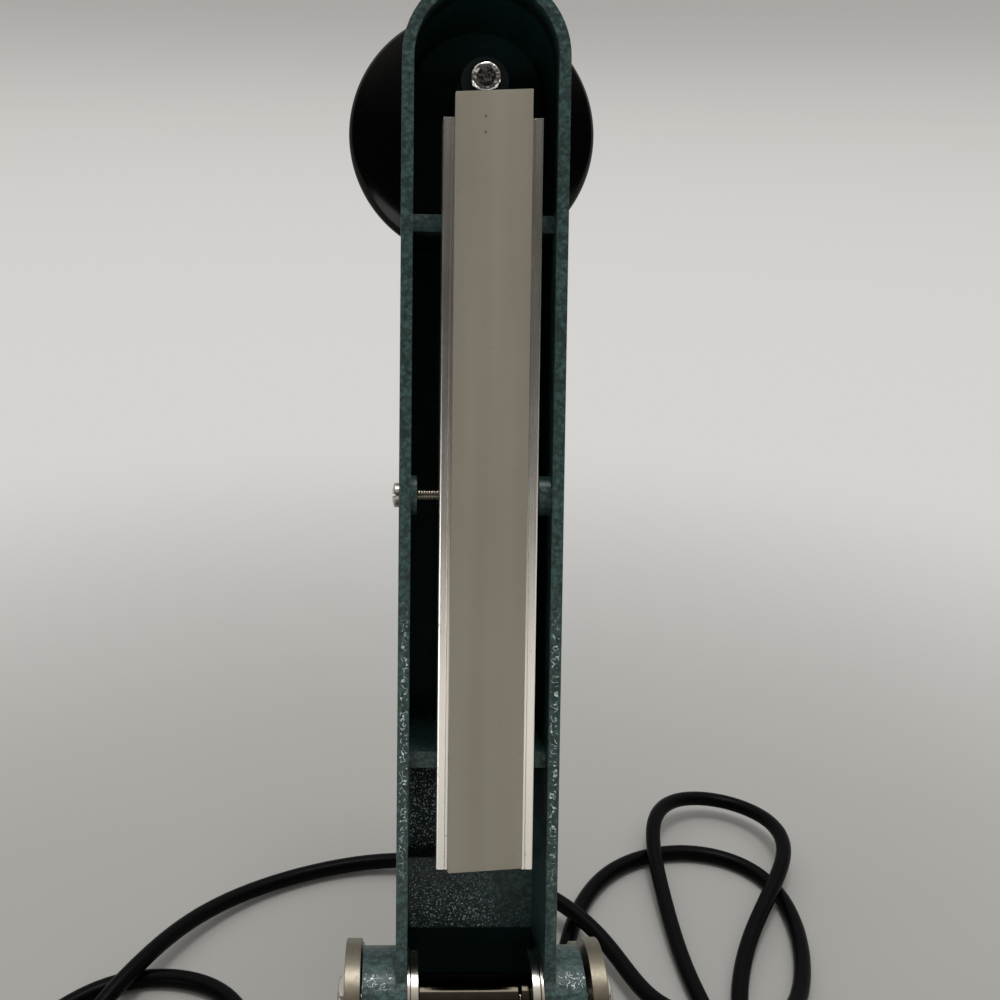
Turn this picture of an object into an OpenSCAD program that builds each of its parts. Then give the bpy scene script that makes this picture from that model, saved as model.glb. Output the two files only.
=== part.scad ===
// Hand impulse sealer: a cast arm with a rocking press bar, hinged on a long base.
// Millimetres, +X right, +Y to the back, +Z up, standing on z = 0 with the arm open.

/* [Base] */
// Width of the base housing
base_w = 76; // [70:1:77]
// Height of the base housing without its feet
base_h = 50; // [46:1:60]
// Wall thickness of the base housing
base_wall = 3; // [2:0.5:4]
// Corner radius of the base housing
base_corner = 10; // [6:1:12]
// Thickness of the bottom plate
plate_t = 1.5; // [1:0.25:2.5]
// Height of the rubber feet
foot_h = 8; // [6:1:12]
// Radius of the rubber feet
foot_r = 8; // [6:0.5:8.5]

/* [Hinge] */
// Hinge axis behind the origin
hinge_y = 76; // [70:1:82]
// Hinge axis in front of the back of the base
hinge_setback = 34; // [33:1:40]
// Hinge axis above the rim of the closed arm
hinge_drop = 10; // [9:0.5:11]
// How far the arm stands open
open_angle = 108; // [100:1:110]
// Radius of the hinge bolt
bolt_r = 4; // [3:0.25:4.5]
// Radius of the cast hinge bosses
boss_r = 15; // [13:0.5:16]
// Distance from the arm's centre plane to the end of its left hinge boss
boss_half = 31.7; // [30:0.1:32.4]
// Thickness of the yoke plate and ears
ear_t = 4.5; // [3.5:0.1:6]
// Radius of the yoke ears
ear_r = 17; // [16.5:0.5:19]
// Radius of the stop pin
stop_r = 3; // [2:0.25:3.5]

/* [Arm] */
// Width of the arm
arm_w = 44.7; // [42:0.1:48]
// Wall thickness of the arm
arm_wall = 3.2; // [2.5:0.1:4]
// Depth of the arm from its rim to its back
arm_depth = 38; // [36:0.5:44]
// Thickness of the arm's floor
floor_t = 4; // [3:0.25:5]
// Pivot to the middle of each rib
rib_reach = 73.7; // [64:0.1:80]
// Thickness of the ribs
rib_t = 4.6; // [3:0.1:6]
// Rim of the arm to the top of the ribs
rib_drop = 4.5; // [4.3:0.1:8]
// Radius of the arm's round heel
heel_r = 19; // [18:0.25:20]
// Height of the pad on the arm's floor
pad_h = 6; // [4:0.5:7]

/* [Press knob] */
// Largest radius of the knob
knob_r = 39; // [34:0.5:42]
// Arm back to the knob's widest circle
knob_rise = 17; // [16:0.5:24]
// Radius of the knob's stud
stud_r = 2.5; // [2:0.25:3]

/* [Press bar] */
// Width of the press bar
bar_w = 26.1; // [25:0.1:28]
// Press bar, over the middle of the bed, to the right of the arm's centre plane
bar_x = 1.4; // [0:0.1:1.6]
// Hinge axis to the lower end of the press bar
bar_u = 46.2; // [45:0.1:48]
// Press bar above the rim
bar_proud = 6; // [4:0.25:7]
// Width of the silicone strip
strip_w = 20; // [16:0.1:21]
// Silicone strip above the press bar
strip_proud = 2; // [1:0.1:2.5]
// Radius of the pivot screw
pivot_r = 2; // [1.5:0.1:2.5]
// How far the press bar rocks each way, in degrees
bar_rock = 0.6; // [0.3:0.05:0.8]

/* [Sealing bed] */
// Length of the sealing bed, which the base, the arm and the press bar follow
bed_l = 214; // [190:1:240]
// Width of the sealing bed
bed_w = 22; // [20:0.5:24]
// Height of the sealing bed
bed_h = 6; // [5:0.25:10]
// Width of the heating ribbon
ribbon_w = 2; // [1:0.25:5]
// Radius of the clamp strip screws
clamp_screw_r = 1.5; // [1:0.1:1.6]

/* [Lift and switch] */
// Hinge axis to the lift plunger
plunger_u = 26; // [25.5:0.25:26.5]
// Radius of the plunger rod
plunger_r = 4; // [3:0.25:4.5]
// Travel of the plunger over the swing of the arm
plunger_travel = 4; // [3:0.25:5]
// Travel of the switch button
button_travel = 1.2; // [0.8:0.1:1.5]
// Wire of the lift spring
spring_wire = 1.2; // [0.8:0.1:1.4]
// Turns of the lift spring
spring_turns = 7; // [5:1:9]

/* [Timer] */
// Radius of the timer knob
dial_knob_r = 12; // [10:0.5:14]
// Height of the timer knob
dial_knob_h = 15; // [12:0.5:20]
// Radius of the dial plate
dial_r = 16; // [15:0.5:17]
// Radius of the timer shaft
shaft_r = 3; // [2.5:0.1:3.2]
// Timer and lamp to each side of the centre plane
panel_x = 14; // [13:0.5:14.5]

/* [Transformer] */
// Depth of the core's stack
core_d = 34; // [30:1:40]

/* [Cord] */
// Diameter of the power cord
cord_d = 6.6; // [5:0.2:6.6]
// Length of the gland's tail
gland_l = 27; // [22:1:28]

/* [Hidden] */
$fn = 64;

// Clearances: a shaft in its hole, a fastener in its hole, a face beside a moving face
run_fit = 0.06;
bolt_fit = 0.05;
side_gap = 0.4;
rest_gap = 0.25;
over = 1;

// Lengths that follow the sealing bed, with the room left at each end
bed_front = 14;
bed_rear_u = 42;
strip_short = 8;
bar_short = 7;
tip_room = 17.8;
knob_back = 4.5;
pivot_off = 1;
base_l = bed_front + bed_l + bed_rear_u + hinge_setback;
strip_l = bed_l - strip_short;
bar_l = strip_l - bar_short;
pivot_u = bar_u + bar_l / 2 + pivot_off;
tip_u = bar_u + bar_l + tip_room;
knob_u = tip_u - knob_back;

// Base
base_rear = hinge_y + hinge_setback;
base_front = base_rear - base_l;
base_mid = (base_front + base_rear) / 2;
base_top = foot_h + base_h;
base_ceiling = base_top - base_wall;
inner_floor = foot_h + plate_t;
plate_gap = 0.2;
foot_inset_x = 9;
foot_inset_y = 12;
foot_x = base_w / 2 - foot_inset_x;
foot_rows = [base_front + foot_inset_y, base_rear - foot_inset_y];
foot_screw_r = 2;
foot_screw_head_r = 3.75;
foot_screw_head_h = 2.5;
foot_recess = 5;
post_r = 5;
post_h = 14;

// Levels of the sealing bed
bed_top = base_top + bed_h;
insulator_t = 0.5;
ribbon_t = 0.3;
cloth_t = 0.25;
seal_top = bed_top + insulator_t + ribbon_t + cloth_t;
bed_y = hinge_y - bed_rear_u - bed_l;
insulator_inset = 3;

// The nip that stays between the strip and the cloth when the bar rocks
nip_gap = strip_l * sin(bar_rock) / 2 + 0.25;

// Hinge, across the arm's centre plane
hinge_z = seal_top + nip_gap + strip_proud + bar_proud + hinge_drop;
ear_in = boss_half + side_gap;
ear_out = ear_in + ear_t;
yoke_top = base_top + ear_t;
head_af = bolt_r * 3.25;
head_h = 2.2;
nut_h = 3.2;
bolt_tail = 0.8;
boss_short = 0.9;
yoke_screw_x = (arm_w / 2 + ear_in) / 2;
yoke_screw_r = 2;
yoke_screw_rows = [-11, 12];
yoke_head_h = 3;
yoke_nut_h = 4;
yoke_tail = 6;

// Arm, seen closed: along -Y from the hinge axis, rim at rim_z, back at back_z
rim_z = -hinge_drop;
back_z = rim_z + arm_depth;
inner_w = arm_w - 2 * arm_wall;
floor_z = back_z - floor_t;
slope_u = 30;
pad_u0 = 13;
pad_u1 = 35;
pad_z = floor_z - pad_h;
pivot_z = rim_z + 7;
pivot_boss_left = 1.7;
pivot_boss_right = 3.3;
pivot_boss_r = 5.5;
pivot_head_r = 3.4;
pivot_head_h = 1.9;
stud_boss_r = 6.5;
stud_boss_root_r = 9;
stud_boss_z = rim_z + 6;

// The arm's sloping back leans on the stop pin when it is open
slope_turn = heel_angle(heel_r, slope_u, back_z) - open_angle;
stop_along = 4.4;
stop_away = heel_r + stop_r + rest_gap;
stop_y = stop_away * cos(slope_turn) - stop_along * sin(slope_turn);
stop_z = stop_away * sin(slope_turn) + stop_along * cos(slope_turn);
stop_lug_r = stop_r + 4;

// Hinge bushes, washers and sleeve inside the arm
bush_r = bolt_r + 2;
bush_flange_r = 14;
bush_flange_t = 2.4;
washer_r = 14.6;
washer_t = 0.9;
flange_x = inner_w / 2 - washer_t - bush_flange_t;
sleeve_r = bolt_r + 3.8;
collar_w = 2.6;
collar_gap = 0.4;
collar_r = sleeve_r + 0.6;

// Press knob and its stud
knob_foot_r = 15;
knob_neck_r = 12;
knob_top = knob_rise + 13;
stud_depth = 22;
stud_end = rim_z - 1 + 2;
stud_nut_h = 4;
stud_nut_af = stud_r * 3.2;

// Press bar section, measured from the rim
bar_back = 3;
bar_wall = 2;
bar_groove = 0.6;
bar_chamfer = 0.8;
groove_gap = 0.2;
saddle_l = 16;
saddle_w = bar_w - 2 * bar_wall - 2 * groove_gap;
saddle_drop = 5;
strip_skew_top = 1;
strip_skew_low = 1.35;
strip_low = 0.2;

// Heating ribbon, cloth and clamps
terminal_l = 6;
terminal_gap = 0.5;
terminal_w = 14;
terminal_screw_r = 1.5;
terminal_screw_head_r = 2.75;
terminal_tail = 5;
cloth_inset = 6;
cloth_drop = 1;
clamp_w = 4;
clamp_h = 4;
clamp_count = 4;
clamp_z = base_top + clamp_h / 2;
screw_head_t = 1.5;
screw_depth = 5;

// Lift plunger, bush, spring and switch
plunger_y = hinge_y - plunger_u;
plunger_top = hinge_z + pad_z - side_gap + plunger_travel;
plunger_cap_r = 6.5;
plunger_cap_h = 4;
plunger_bottom = base_top - 18;
bush_wall = 2;
bush_flange = 7.4;
bush_lip = 2;
bush_drop = 12;
spring_r = plunger_r + 0.5 + spring_wire / 2;
spring_seat = base_top + bush_lip;
spring_top = plunger_top - plunger_cap_h;
button_r = 1.5;
button_top = plunger_bottom - plunger_travel - 0.2 + button_travel;
button_l = 5;
switch_top = button_top - 2;
switch_w = 10;
switch_l = 28;
switch_h = 16;
switch_screw_r = 1.25;
switch_screw_y = switch_l * 0.35;
switch_screw_z = switch_top - switch_h * 0.6;
bracket_t = 2;
bracket_foot = 12;

// Front panel
panel_z = base_top - 24;
pot_r = 9;
pot_l = 13;
pot_bush_r = shaft_r + 1;
pot_bush_l = 4;
dial_t = 0.8;
pot_nut_h = 2.4;
pot_nut_af = 12;
lens_r = 5;
lens_flange_r = 7;
lens_flange_t = 1.5;
lens_rise = 4;
holder_r = 6;
holder_l = 14;

// Transformer
core_front = 124;
core_y = base_front + core_front;
core_leg = 9;
core_mid = 18;
frame_t = 1;
frame_foot = 6;
frame_clear = 1;
core_w = base_w - 2 * (base_wall + frame_clear + frame_foot + frame_t);
core_room = 4.5;
core_h = base_h - base_wall - plate_t - frame_t - core_room;
window_w = (core_w - 2 * core_leg - core_mid) / 2;
window_h = core_h - 2 * core_leg;
coil_gap = 0.3;
coil_reach = 9;
frame_screw_r = 1.75;
frame_screw_head_r = 2.6;
frame_screw_head_h = 2;

// Timer board
board_w = 50;
board_l = 56;
board_t = 1.6;
board_y = base_front + 26;
board_z = inner_floor + 10;
standoff_r = 3;
standoff_inset = 5;
relay_size = [20, 16, 15];
relay_at = [6, 20];
capacitor_r = 6;
capacitor_h = 14;
capacitor_at = [36, 18];
capacitor_pitch = 16;

// Mains side
gland_front = 56;
gland_y = hinge_y - gland_front;
gland_z = inner_floor + 9;
gland_r = 6;
gland_flange_r = 8;
gland_flange_t = 3;
gland_lock_t = 2.5;
gland_tip_r = cord_d / 2 + 1;
cord_start = 26;
block_l = 20;
block_w = 20;
block_h = 16;
lead_r = 0.9;
lead_gap = 0.3;

// Cord route on the counter, control points of a smooth curve from the block to the plug
cord_z = cord_d / 2 + 0.1;
plug_x = -168;
plug_y = 76;
plug_z = 12.2;
plug_w = 26;
plug_l = 30;
plug_h = 24;
plug_tail = 14;
blade_size = [1.5, 16, 6.3];
blade_x = 6.35;
blade_z = 1;
earth_r = 2.4;
earth_l = 19;
earth_z = -7;
cord_points = [
    [cord_start, gland_y, gland_z], [50, gland_y, gland_z], [72, gland_y, gland_z],
    [88, gland_y, gland_z], [115, 34, 9], [121, 81, cord_z], [99, 125, cord_z], [122, 181, 4.5],
    [160, 222, 14.5], [152, 256, 9], [121, 267, 9], [94, 246, 15], [93, 201, 5], [92, 156, cord_z],
    [102, 115, cord_z], [78, 93, cord_z], [50, 99, cord_z], [36, 126, cord_z], [45, 178, cord_z],
    [68, 221, cord_z], [110, 236, cord_z], [145, 221, cord_z], [149, 183, cord_z], [132, 139, 4],
    [104, 125, 14.5], [73, 139, 8], [66, 170, 7], [42, 198, 15], [-21, 235, cord_z], [-101, 205, 4],
    [-124, 157, 15], [-145, 127, 5], [-129, 96, cord_z], [-92, 94, cord_z], [-72, 131, cord_z],
    [-92, 161, cord_z], [-139, 163, cord_z], [-168, 126, 4], [plug_x, 94, plug_z],
    [plug_x, plug_y, plug_z]];
cord_steps = 2;
cord_sides = 8;

// Colours
hammertone = [0.17, 0.25, 0.25];
nickel = [0.72, 0.7, 0.66];
steel = [0.66, 0.67, 0.68];
aluminium = [0.8, 0.8, 0.79];
black = [0.05, 0.05, 0.05];
rubber = [0.08, 0.08, 0.08];
silicone = [0.74, 0.72, 0.67];
brass = [0.75, 0.6, 0.3];
copper = [0.62, 0.36, 0.2];
cloth = [0.6, 0.46, 0.3];
board_green = [0.1, 0.32, 0.18];
lamp_red = [0.75, 0.1, 0.06];

// Angle of the point where the sloping back leaves the round heel
function heel_angle(r, u, z) = atan2(z, -u) - acos(r / norm([u, z]));

// One point of the smooth curve between control points b and c
function bend(a, b, c, d, t) =
    (pow(1 - t, 3) * a + (3 * pow(t, 3) - 6 * t * t + 4) * b
    + (-3 * pow(t, 3) + 3 * t * t + 3 * t + 1) * c + pow(t, 3) * d) / 6;

// Points along a smooth curve that starts and ends on its first and last control points
function smooth(p, steps) =
    let (n = len(p))
    let (q = concat([2 * p[0] - p[1]], p, [2 * p[n - 1] - p[n - 2]]))
    concat([for (i = [0:n - 2]) for (k = [0:steps - 1])
        bend(q[i], q[i + 1], q[i + 2], q[i + 3], k / steps)], [p[n - 1]]);

function unit(v) = v / norm(v);

// Direction of a path at its point i
function heading(p, i) = unit(p[min(i + 1, len(p) - 1)] - p[max(i - 1, 0)]);

// One ring of a tube of radius r, square to the direction d
function ring(c, d, r, sides) =
    let (side = unit(cross(abs(d.z) > 0.9 ? [1, 0, 0] : [0, 0, 1], d)))
    let (up = cross(d, side))
    [for (k = [0:sides - 1]) c + r * (cos(360 * k / sides) * side + sin(360 * k / sides) * up)];

// Closed tube of triangles along a path
module tube(path, r, sides) {
    n = len(path);
    rings = [for (i = [0:n - 1]) each ring(path[i], heading(path, i), r, sides)];
    walls = [for (i = [0:n - 2]) for (k = [0:sides - 1])
        let (a = i * sides + k)
        let (b = i * sides + (k + 1) % sides)
        each [[a, b, b + sides], [a, b + sides, a + sides]]];
    start = [for (k = [1:sides - 2]) [0, k + 1, k]];
    last = (n - 1) * sides;
    end = [for (k = [1:sides - 2]) [last, last + k, last + k + 1]];
    polyhedron(points = rings, faces = [for (f = concat(start, walls, end)) [f[0], f[2], f[1]]]);
}

// Least distance from a path to other turns of itself, less the tube's own thickness
function tube_gap(path, d, skip) =
    min([for (i = [0:len(path) - 1]) for (j = [i + skip:1:len(path) - 1])
        norm(path[i] - path[j])]) - d;

// Flat outline with round corners
module round_rect(l, w, r) {
    square([w - 2 * r, l], center = true);
    square([w, l - 2 * r], center = true);
    for (x = [-1, 1], y = [-1, 1])
        translate([x * (w / 2 - r), y * (l / 2 - r)])
            circle(r);
}

// Cylinder along +X or +Y from its first face
module rod_x(r, l) {
    rotate([0, 90, 0])
        cylinder(r = r, h = l);
}

module rod_y(r, l) {
    rotate([-90, 0, 0])
        cylinder(r = r, h = l);
}

// Six-sided prism along +Z, given across its flats
module hex(af, h) {
    cylinder(d = af / cos(30), h = h, $fn = 6);
}

// Flat shape drawn in the side view, drawn out across the object
module across(w) {
    rotate([90, 0, 90])
        linear_extrude(w, center = true)
            children();
}

// Puts a piece drawn on the closed arm where the open arm holds it
module on_arm() {
    on_hinge()
        rotate([-open_angle, 0, 0])
            children();
}

// Moves a piece from the middle of the hinge to its place
module on_hinge() {
    translate([-bar_x, hinge_y, hinge_z])
        children();
}

// Four places under the housing for the feet
module at_feet() {
    for (x = [-1, 1], y = foot_rows)
        translate([x * foot_x, y, 0])
            children();
}

module at_yoke_screws() {
    for (x = [-1, 1], y = yoke_screw_rows)
        translate([x * yoke_screw_x - bar_x, hinge_y + y, 0])
            children();
}

module at_bed_screws() {
    for (k = [-1, 0, 1])
        translate([0, bed_y + bed_l / 2 + k * (bed_l / 2 - 20), 0])
            children();
}

// Screws of both clamp strips, each turned so that +X points into the bed
module at_clamp_screws() {
    for (s = [-1, 1], k = [0:clamp_count - 1])
        translate([s * (bed_w / 2 + cloth_t + clamp_w), bed_y + bed_l * (k + 0.5) / clamp_count, clamp_z])
            rotate([0, 0, s > 0 ? 180 : 0])
                children();
}

module at_terminals() {
    for (y = [bed_y - terminal_gap - terminal_l / 2, bed_y + bed_l + terminal_gap + terminal_l / 2])
        translate([0, y, base_top])
            children();
}

module at_frame_screws() {
    for (x = [-1, 1], y = [-1, 1])
        translate([x * (core_w / 2 + frame_t + frame_foot / 2), core_y + y * (core_d / 2 - 5), 0])
            children();
}

module at_standoffs() {
    for (x = [-1, 1], y = [standoff_inset, board_l - standoff_inset])
        translate([x * (board_w / 2 - standoff_inset), board_y + y, 0])
            children();
}

module base_housing() {
    color(hammertone)
    difference() {
        union() {
            difference() {
                translate([0, base_mid, foot_h])
                    linear_extrude(base_h)
                        round_rect(base_l, base_w, base_corner);
                translate([0, base_mid, foot_h - over])
                    linear_extrude(base_h - base_wall + over)
                        round_rect(base_l - 2 * base_wall, base_w - 2 * base_wall, base_corner - base_wall);
            }
            at_feet()
                translate([0, 0, base_ceiling - post_h])
                    cylinder(r = post_r, h = post_h + over);
        }
        at_feet()
            translate([0, 0, base_ceiling - post_h - over])
                cylinder(r = foot_screw_r + bolt_fit, h = post_h);
        at_yoke_screws()
            translate([0, 0, base_ceiling - over])
                cylinder(r = yoke_screw_r + bolt_fit, h = base_wall + 2 * over);
        at_bed_screws()
            translate([0, 0, base_ceiling - over])
                cylinder(r = terminal_screw_r + bolt_fit, h = base_wall + 2 * over);
        at_terminals()
            translate([0, 0, -base_wall - over])
                cylinder(r = terminal_screw_r + bolt_fit, h = base_wall + 2 * over);
        translate([0, plunger_y, base_ceiling - over])
            cylinder(r = plunger_r + bush_wall + bolt_fit, h = base_wall + 2 * over);
        translate([-panel_x, base_front - over, panel_z])
            rod_y(pot_bush_r + bolt_fit, base_wall + 2 * over);
        translate([panel_x, base_front - over, panel_z])
            rod_y(lens_r + bolt_fit, base_wall + 2 * over);
        translate([base_w / 2 - base_wall - over, gland_y, gland_z])
            rod_x(gland_r + bolt_fit, base_wall + 2 * over);
    }
}

module bottom_plate() {
    plate_l = base_l - 2 * base_wall - 2 * plate_gap;
    plate_w = base_w - 2 * base_wall - 2 * plate_gap;
    color(steel)
    difference() {
        translate([0, base_mid, foot_h])
            linear_extrude(plate_t)
                round_rect(plate_l, plate_w, base_corner - base_wall - plate_gap);
        at_feet()
            translate([0, 0, foot_h - over])
                cylinder(r = foot_screw_r + bolt_fit, h = plate_t + 2 * over);
        at_frame_screws()
            translate([0, 0, foot_h - over])
                cylinder(r = frame_screw_r + bolt_fit, h = plate_t + 2 * over);
    }
}

module rubber_feet() {
    color(rubber)
    at_feet()
        difference() {
            cylinder(r = foot_r, h = foot_h);
            translate([0, 0, -over])
                cylinder(r = foot_screw_r + bolt_fit, h = foot_h + 2 * over);
            translate([0, 0, -over])
                cylinder(r = foot_screw_head_r + bolt_fit, h = foot_recess + over);
        }
}

module foot_screws() {
    color(steel)
    at_feet() {
        translate([0, 0, foot_recess - foot_screw_head_h])
            cylinder(r = foot_screw_head_r, h = foot_screw_head_h);
        translate([0, 0, foot_recess])
            cylinder(r = foot_screw_r, h = base_ceiling - foot_recess - 2 * over);
    }
}

module hinge_yoke() {
    ear_h = hinge_z - base_top;
    color(nickel)
    difference() {
        on_hinge()
            difference() {
                union() {
                    translate([-ear_out, -ear_r, -ear_h])
                        cube([2 * ear_out, ear_r + stop_y + stop_lug_r, ear_t]);
                    for (s = [-1, 1])
                        translate([s * (ear_in + ear_t / 2), 0, 0])
                            across(ear_t) {
                                circle(ear_r);
                                translate([-ear_r, -ear_h])
                                    square([2 * ear_r, ear_h]);
                                translate([0, -ear_h])
                                    square([stop_y + stop_lug_r, ear_h + stop_z]);
                                translate([stop_y, stop_z])
                                    circle(stop_lug_r);
                            }
                }
                translate([-ear_out - over, 0, 0])
                    rod_x(bolt_r + bolt_fit, 2 * ear_out + 2 * over);
                translate([-ear_out - over, stop_y, stop_z])
                    rod_x(stop_r + bolt_fit, 2 * ear_out + 2 * over);
            }
        at_yoke_screws()
            translate([0, 0, base_top - over])
                cylinder(r = yoke_screw_r + bolt_fit, h = ear_t + 2 * over);
    }
}

module yoke_screws() {
    color(steel)
    at_yoke_screws() {
        translate([0, 0, yoke_top])
            cylinder(r = yoke_screw_r * 1.8, h = yoke_head_h);
        translate([0, 0, base_ceiling - yoke_tail])
            cylinder(r = yoke_screw_r, h = base_wall + ear_t + yoke_tail);
    }
}

module yoke_nuts() {
    color(steel)
    at_yoke_screws()
        translate([0, 0, base_ceiling - yoke_nut_h])
            difference() {
                hex(yoke_screw_r * 3.2, yoke_nut_h);
                translate([0, 0, -over])
                    cylinder(r = yoke_screw_r + bolt_fit, h = yoke_nut_h + 2 * over);
            }
}

module hinge_bolt() {
    color(steel)
    on_hinge()
        translate([-ear_out, 0, 0]) {
            rotate([0, -90, 0])
                hex(head_af, head_h);
            rod_x(bolt_r, 2 * ear_out + nut_h + bolt_tail);
        }
}

module hinge_nut() {
    color(steel)
    on_hinge()
        translate([ear_out, 0, 0])
            rotate([0, 90, 0])
                difference() {
                    hex(head_af, nut_h);
                    translate([0, 0, -over])
                        cylinder(r = bolt_r + bolt_fit, h = nut_h + 2 * over);
                }
}

module stop_pin() {
    color(nickel)
    on_hinge()
        translate([-ear_out, stop_y, stop_z])
            rod_x(stop_r, 2 * ear_out);
}

module seal_bed() {
    color(aluminium)
    difference() {
        translate([-bed_w / 2, bed_y, base_top])
            cube([bed_w, bed_l, bed_h]);
        at_bed_screws()
            translate([0, 0, base_top - over])
                cylinder(r = terminal_screw_r + bolt_fit, h = bed_h - 1 + over);
        at_clamp_screws()
            translate([clamp_w, 0, 0])
                rod_x(clamp_screw_r + bolt_fit, screw_depth + cloth_t);
    }
}

module bed_screws() {
    color(steel)
    at_bed_screws() {
        translate([0, 0, base_ceiling - 2])
            cylinder(r = terminal_screw_head_r, h = 2);
        translate([0, 0, base_ceiling])
            cylinder(r = terminal_screw_r, h = base_wall + bed_h - 1.5);
    }
}

module insulator_strip() {
    color(cloth)
    translate([-strip_w / 2, bed_y + insulator_inset, bed_top])
        cube([strip_w, bed_l - 2 * insulator_inset, insulator_t]);
}

module heating_element() {
    color(steel)
    difference() {
        translate([-ribbon_w / 2, bed_y - terminal_gap - terminal_l, bed_top + insulator_t])
            cube([ribbon_w, bed_l + 2 * terminal_gap + 2 * terminal_l, ribbon_t]);
        at_terminals()
            translate([0, 0, bed_h])
                cylinder(r = terminal_screw_r + bolt_fit, h = 2 * over);
    }
}

module ptfe_cover() {
    cover_l = bed_l - 2 * cloth_inset;
    roof_z = bed_top + insulator_t + ribbon_t;
    color(cloth)
    difference() {
        translate([-bed_w / 2 - cloth_t, bed_y + cloth_inset, base_top + cloth_drop])
            cube([bed_w + 2 * cloth_t, cover_l, roof_z + cloth_t - base_top - cloth_drop]);
        translate([-bed_w / 2, bed_y, base_top])
            cube([bed_w, bed_l, roof_z - base_top]);
        at_clamp_screws()
            translate([clamp_w - over, 0, 0])
                rod_x(clamp_screw_r + bolt_fit, cloth_t + 2 * over);
    }
}

module cloth_clamps() {
    color(aluminium)
    difference() {
        for (s = [-1, 1])
            translate([s * (bed_w / 2 + cloth_t + clamp_w / 2), bed_y + bed_l / 2, clamp_z])
                cube([clamp_w, bed_l - 2 * cloth_inset, clamp_h], center = true);
        at_clamp_screws()
            translate([-over, 0, 0])
                rod_x(clamp_screw_r + bolt_fit, clamp_w + 2 * over);
    }
}

module clamp_screws() {
    color(steel)
    at_clamp_screws() {
        translate([-screw_head_t, 0, 0])
            rod_x(clamp_h / 2 - 0.1, screw_head_t);
        rod_x(clamp_screw_r, clamp_w + cloth_t + screw_depth - 0.5);
    }
}

module element_terminals() {
    color(brass)
    at_terminals()
        difference() {
            translate([-terminal_w / 2, -terminal_l / 2, 0])
                cube([terminal_w, terminal_l, bed_h + insulator_t]);
            translate([0, 0, -over])
                cylinder(r = terminal_screw_r + bolt_fit, h = bed_h + 2 * over);
        }
}

module terminal_screws() {
    color(steel)
    at_terminals() {
        translate([0, 0, bed_h + insulator_t + ribbon_t])
            cylinder(r = terminal_screw_head_r, h = 1.6);
        translate([0, 0, -base_wall - terminal_tail])
            cylinder(r = terminal_screw_r, h = base_wall + terminal_tail + bed_h + insulator_t + ribbon_t);
    }
}

module transformer_core() {
    color(steel)
    translate([0, core_y, inner_floor + core_h / 2])
        difference() {
            cube([core_w, core_d, core_h], center = true);
            for (s = [-1, 1])
                translate([s * (core_mid + window_w) / 2, 0, 0])
                    cube([window_w, core_d + 2 * over, window_h], center = true);
        }
}

module transformer_coil() {
    reach = min(coil_reach, window_w - coil_gap);
    color(copper)
    translate([0, core_y, inner_floor + core_h / 2])
        difference() {
            cube([core_mid + 2 * reach, core_d + 2 * reach, window_h - 2 * coil_gap], center = true);
            cube([core_mid + 2 * coil_gap, core_d + 2 * coil_gap, window_h], center = true);
        }
}

module transformer_frame() {
    color(steel)
    translate([0, core_y, inner_floor])
        difference() {
            union() {
                translate([-core_w / 2 - frame_t, -core_d / 2, 0])
                    cube([core_w + 2 * frame_t, core_d, core_h + frame_t]);
                translate([-core_w / 2 - frame_t - frame_foot, -core_d / 2, 0])
                    cube([core_w + 2 * frame_t + 2 * frame_foot, core_d, frame_t]);
            }
            translate([-core_w / 2, -core_d / 2 - over, -over])
                cube([core_w, core_d + 2 * over, core_h + over]);
            translate([0, -core_y, -inner_floor])
                at_frame_screws()
                    translate([0, 0, foot_h])
                        cylinder(r = frame_screw_r + bolt_fit, h = plate_t + frame_t + over);
        }
}

module transformer_screws() {
    color(steel)
    at_frame_screws() {
        translate([0, 0, inner_floor + frame_t])
            cylinder(r = frame_screw_head_r, h = frame_screw_head_h);
        translate([0, 0, foot_h])
            cylinder(r = frame_screw_r, h = plate_t + frame_t);
    }
}

module timer_board() {
    color(board_green)
    difference() {
        translate([-board_w / 2, board_y, board_z])
            cube([board_w, board_l, board_t]);
        at_standoffs()
            translate([0, 0, board_z - over])
                cylinder(r = standoff_r / 2 + bolt_fit, h = board_t + 2 * over);
    }
}

module board_standoffs() {
    color(silicone)
    at_standoffs() {
        translate([0, 0, inner_floor])
            cylinder(r = standoff_r, h = board_z - inner_floor);
        translate([0, 0, board_z])
            cylinder(r = standoff_r / 2, h = board_t + 1.5);
    }
}

module board_relay() {
    color(black)
    translate([relay_at.x - board_w / 2, board_y + relay_at.y, board_z + board_t])
        cube(relay_size);
}

module board_capacitors() {
    color(steel)
    for (y = [capacitor_at.y, capacitor_at.y + capacitor_pitch])
        translate([capacitor_at.x - board_w / 2, board_y + y, board_z + board_t])
            cylinder(r = capacitor_r, h = capacitor_h);
}

module timer_pot() {
    color(steel)
    translate([-panel_x, base_front, panel_z])
        difference() {
            union() {
                translate([0, base_wall, 0])
                    rod_y(pot_r, pot_l);
                translate([0, -dial_t - pot_bush_l, 0])
                    rod_y(pot_bush_r, base_wall + dial_t + pot_bush_l + over);
            }
            translate([0, -dial_t - pot_bush_l - over, 0])
                rod_y(shaft_r + run_fit, base_wall + dial_t + pot_bush_l + pot_l - 2);
        }
}

module pot_nut() {
    color(nickel)
    translate([-panel_x, base_front - dial_t, panel_z])
        rotate([90, 0, 0])
            difference() {
                hex(pot_nut_af, pot_nut_h);
                translate([0, 0, -over])
                    cylinder(r = pot_bush_r + bolt_fit, h = pot_nut_h + 2 * over);
            }
}

module dial_plate() {
    color(aluminium)
    translate([-panel_x, base_front - dial_t, panel_z])
        difference() {
            rod_y(dial_r, dial_t);
            translate([0, -over, 0])
                rod_y(pot_bush_r + bolt_fit, dial_t + 2 * over);
        }
}

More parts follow.
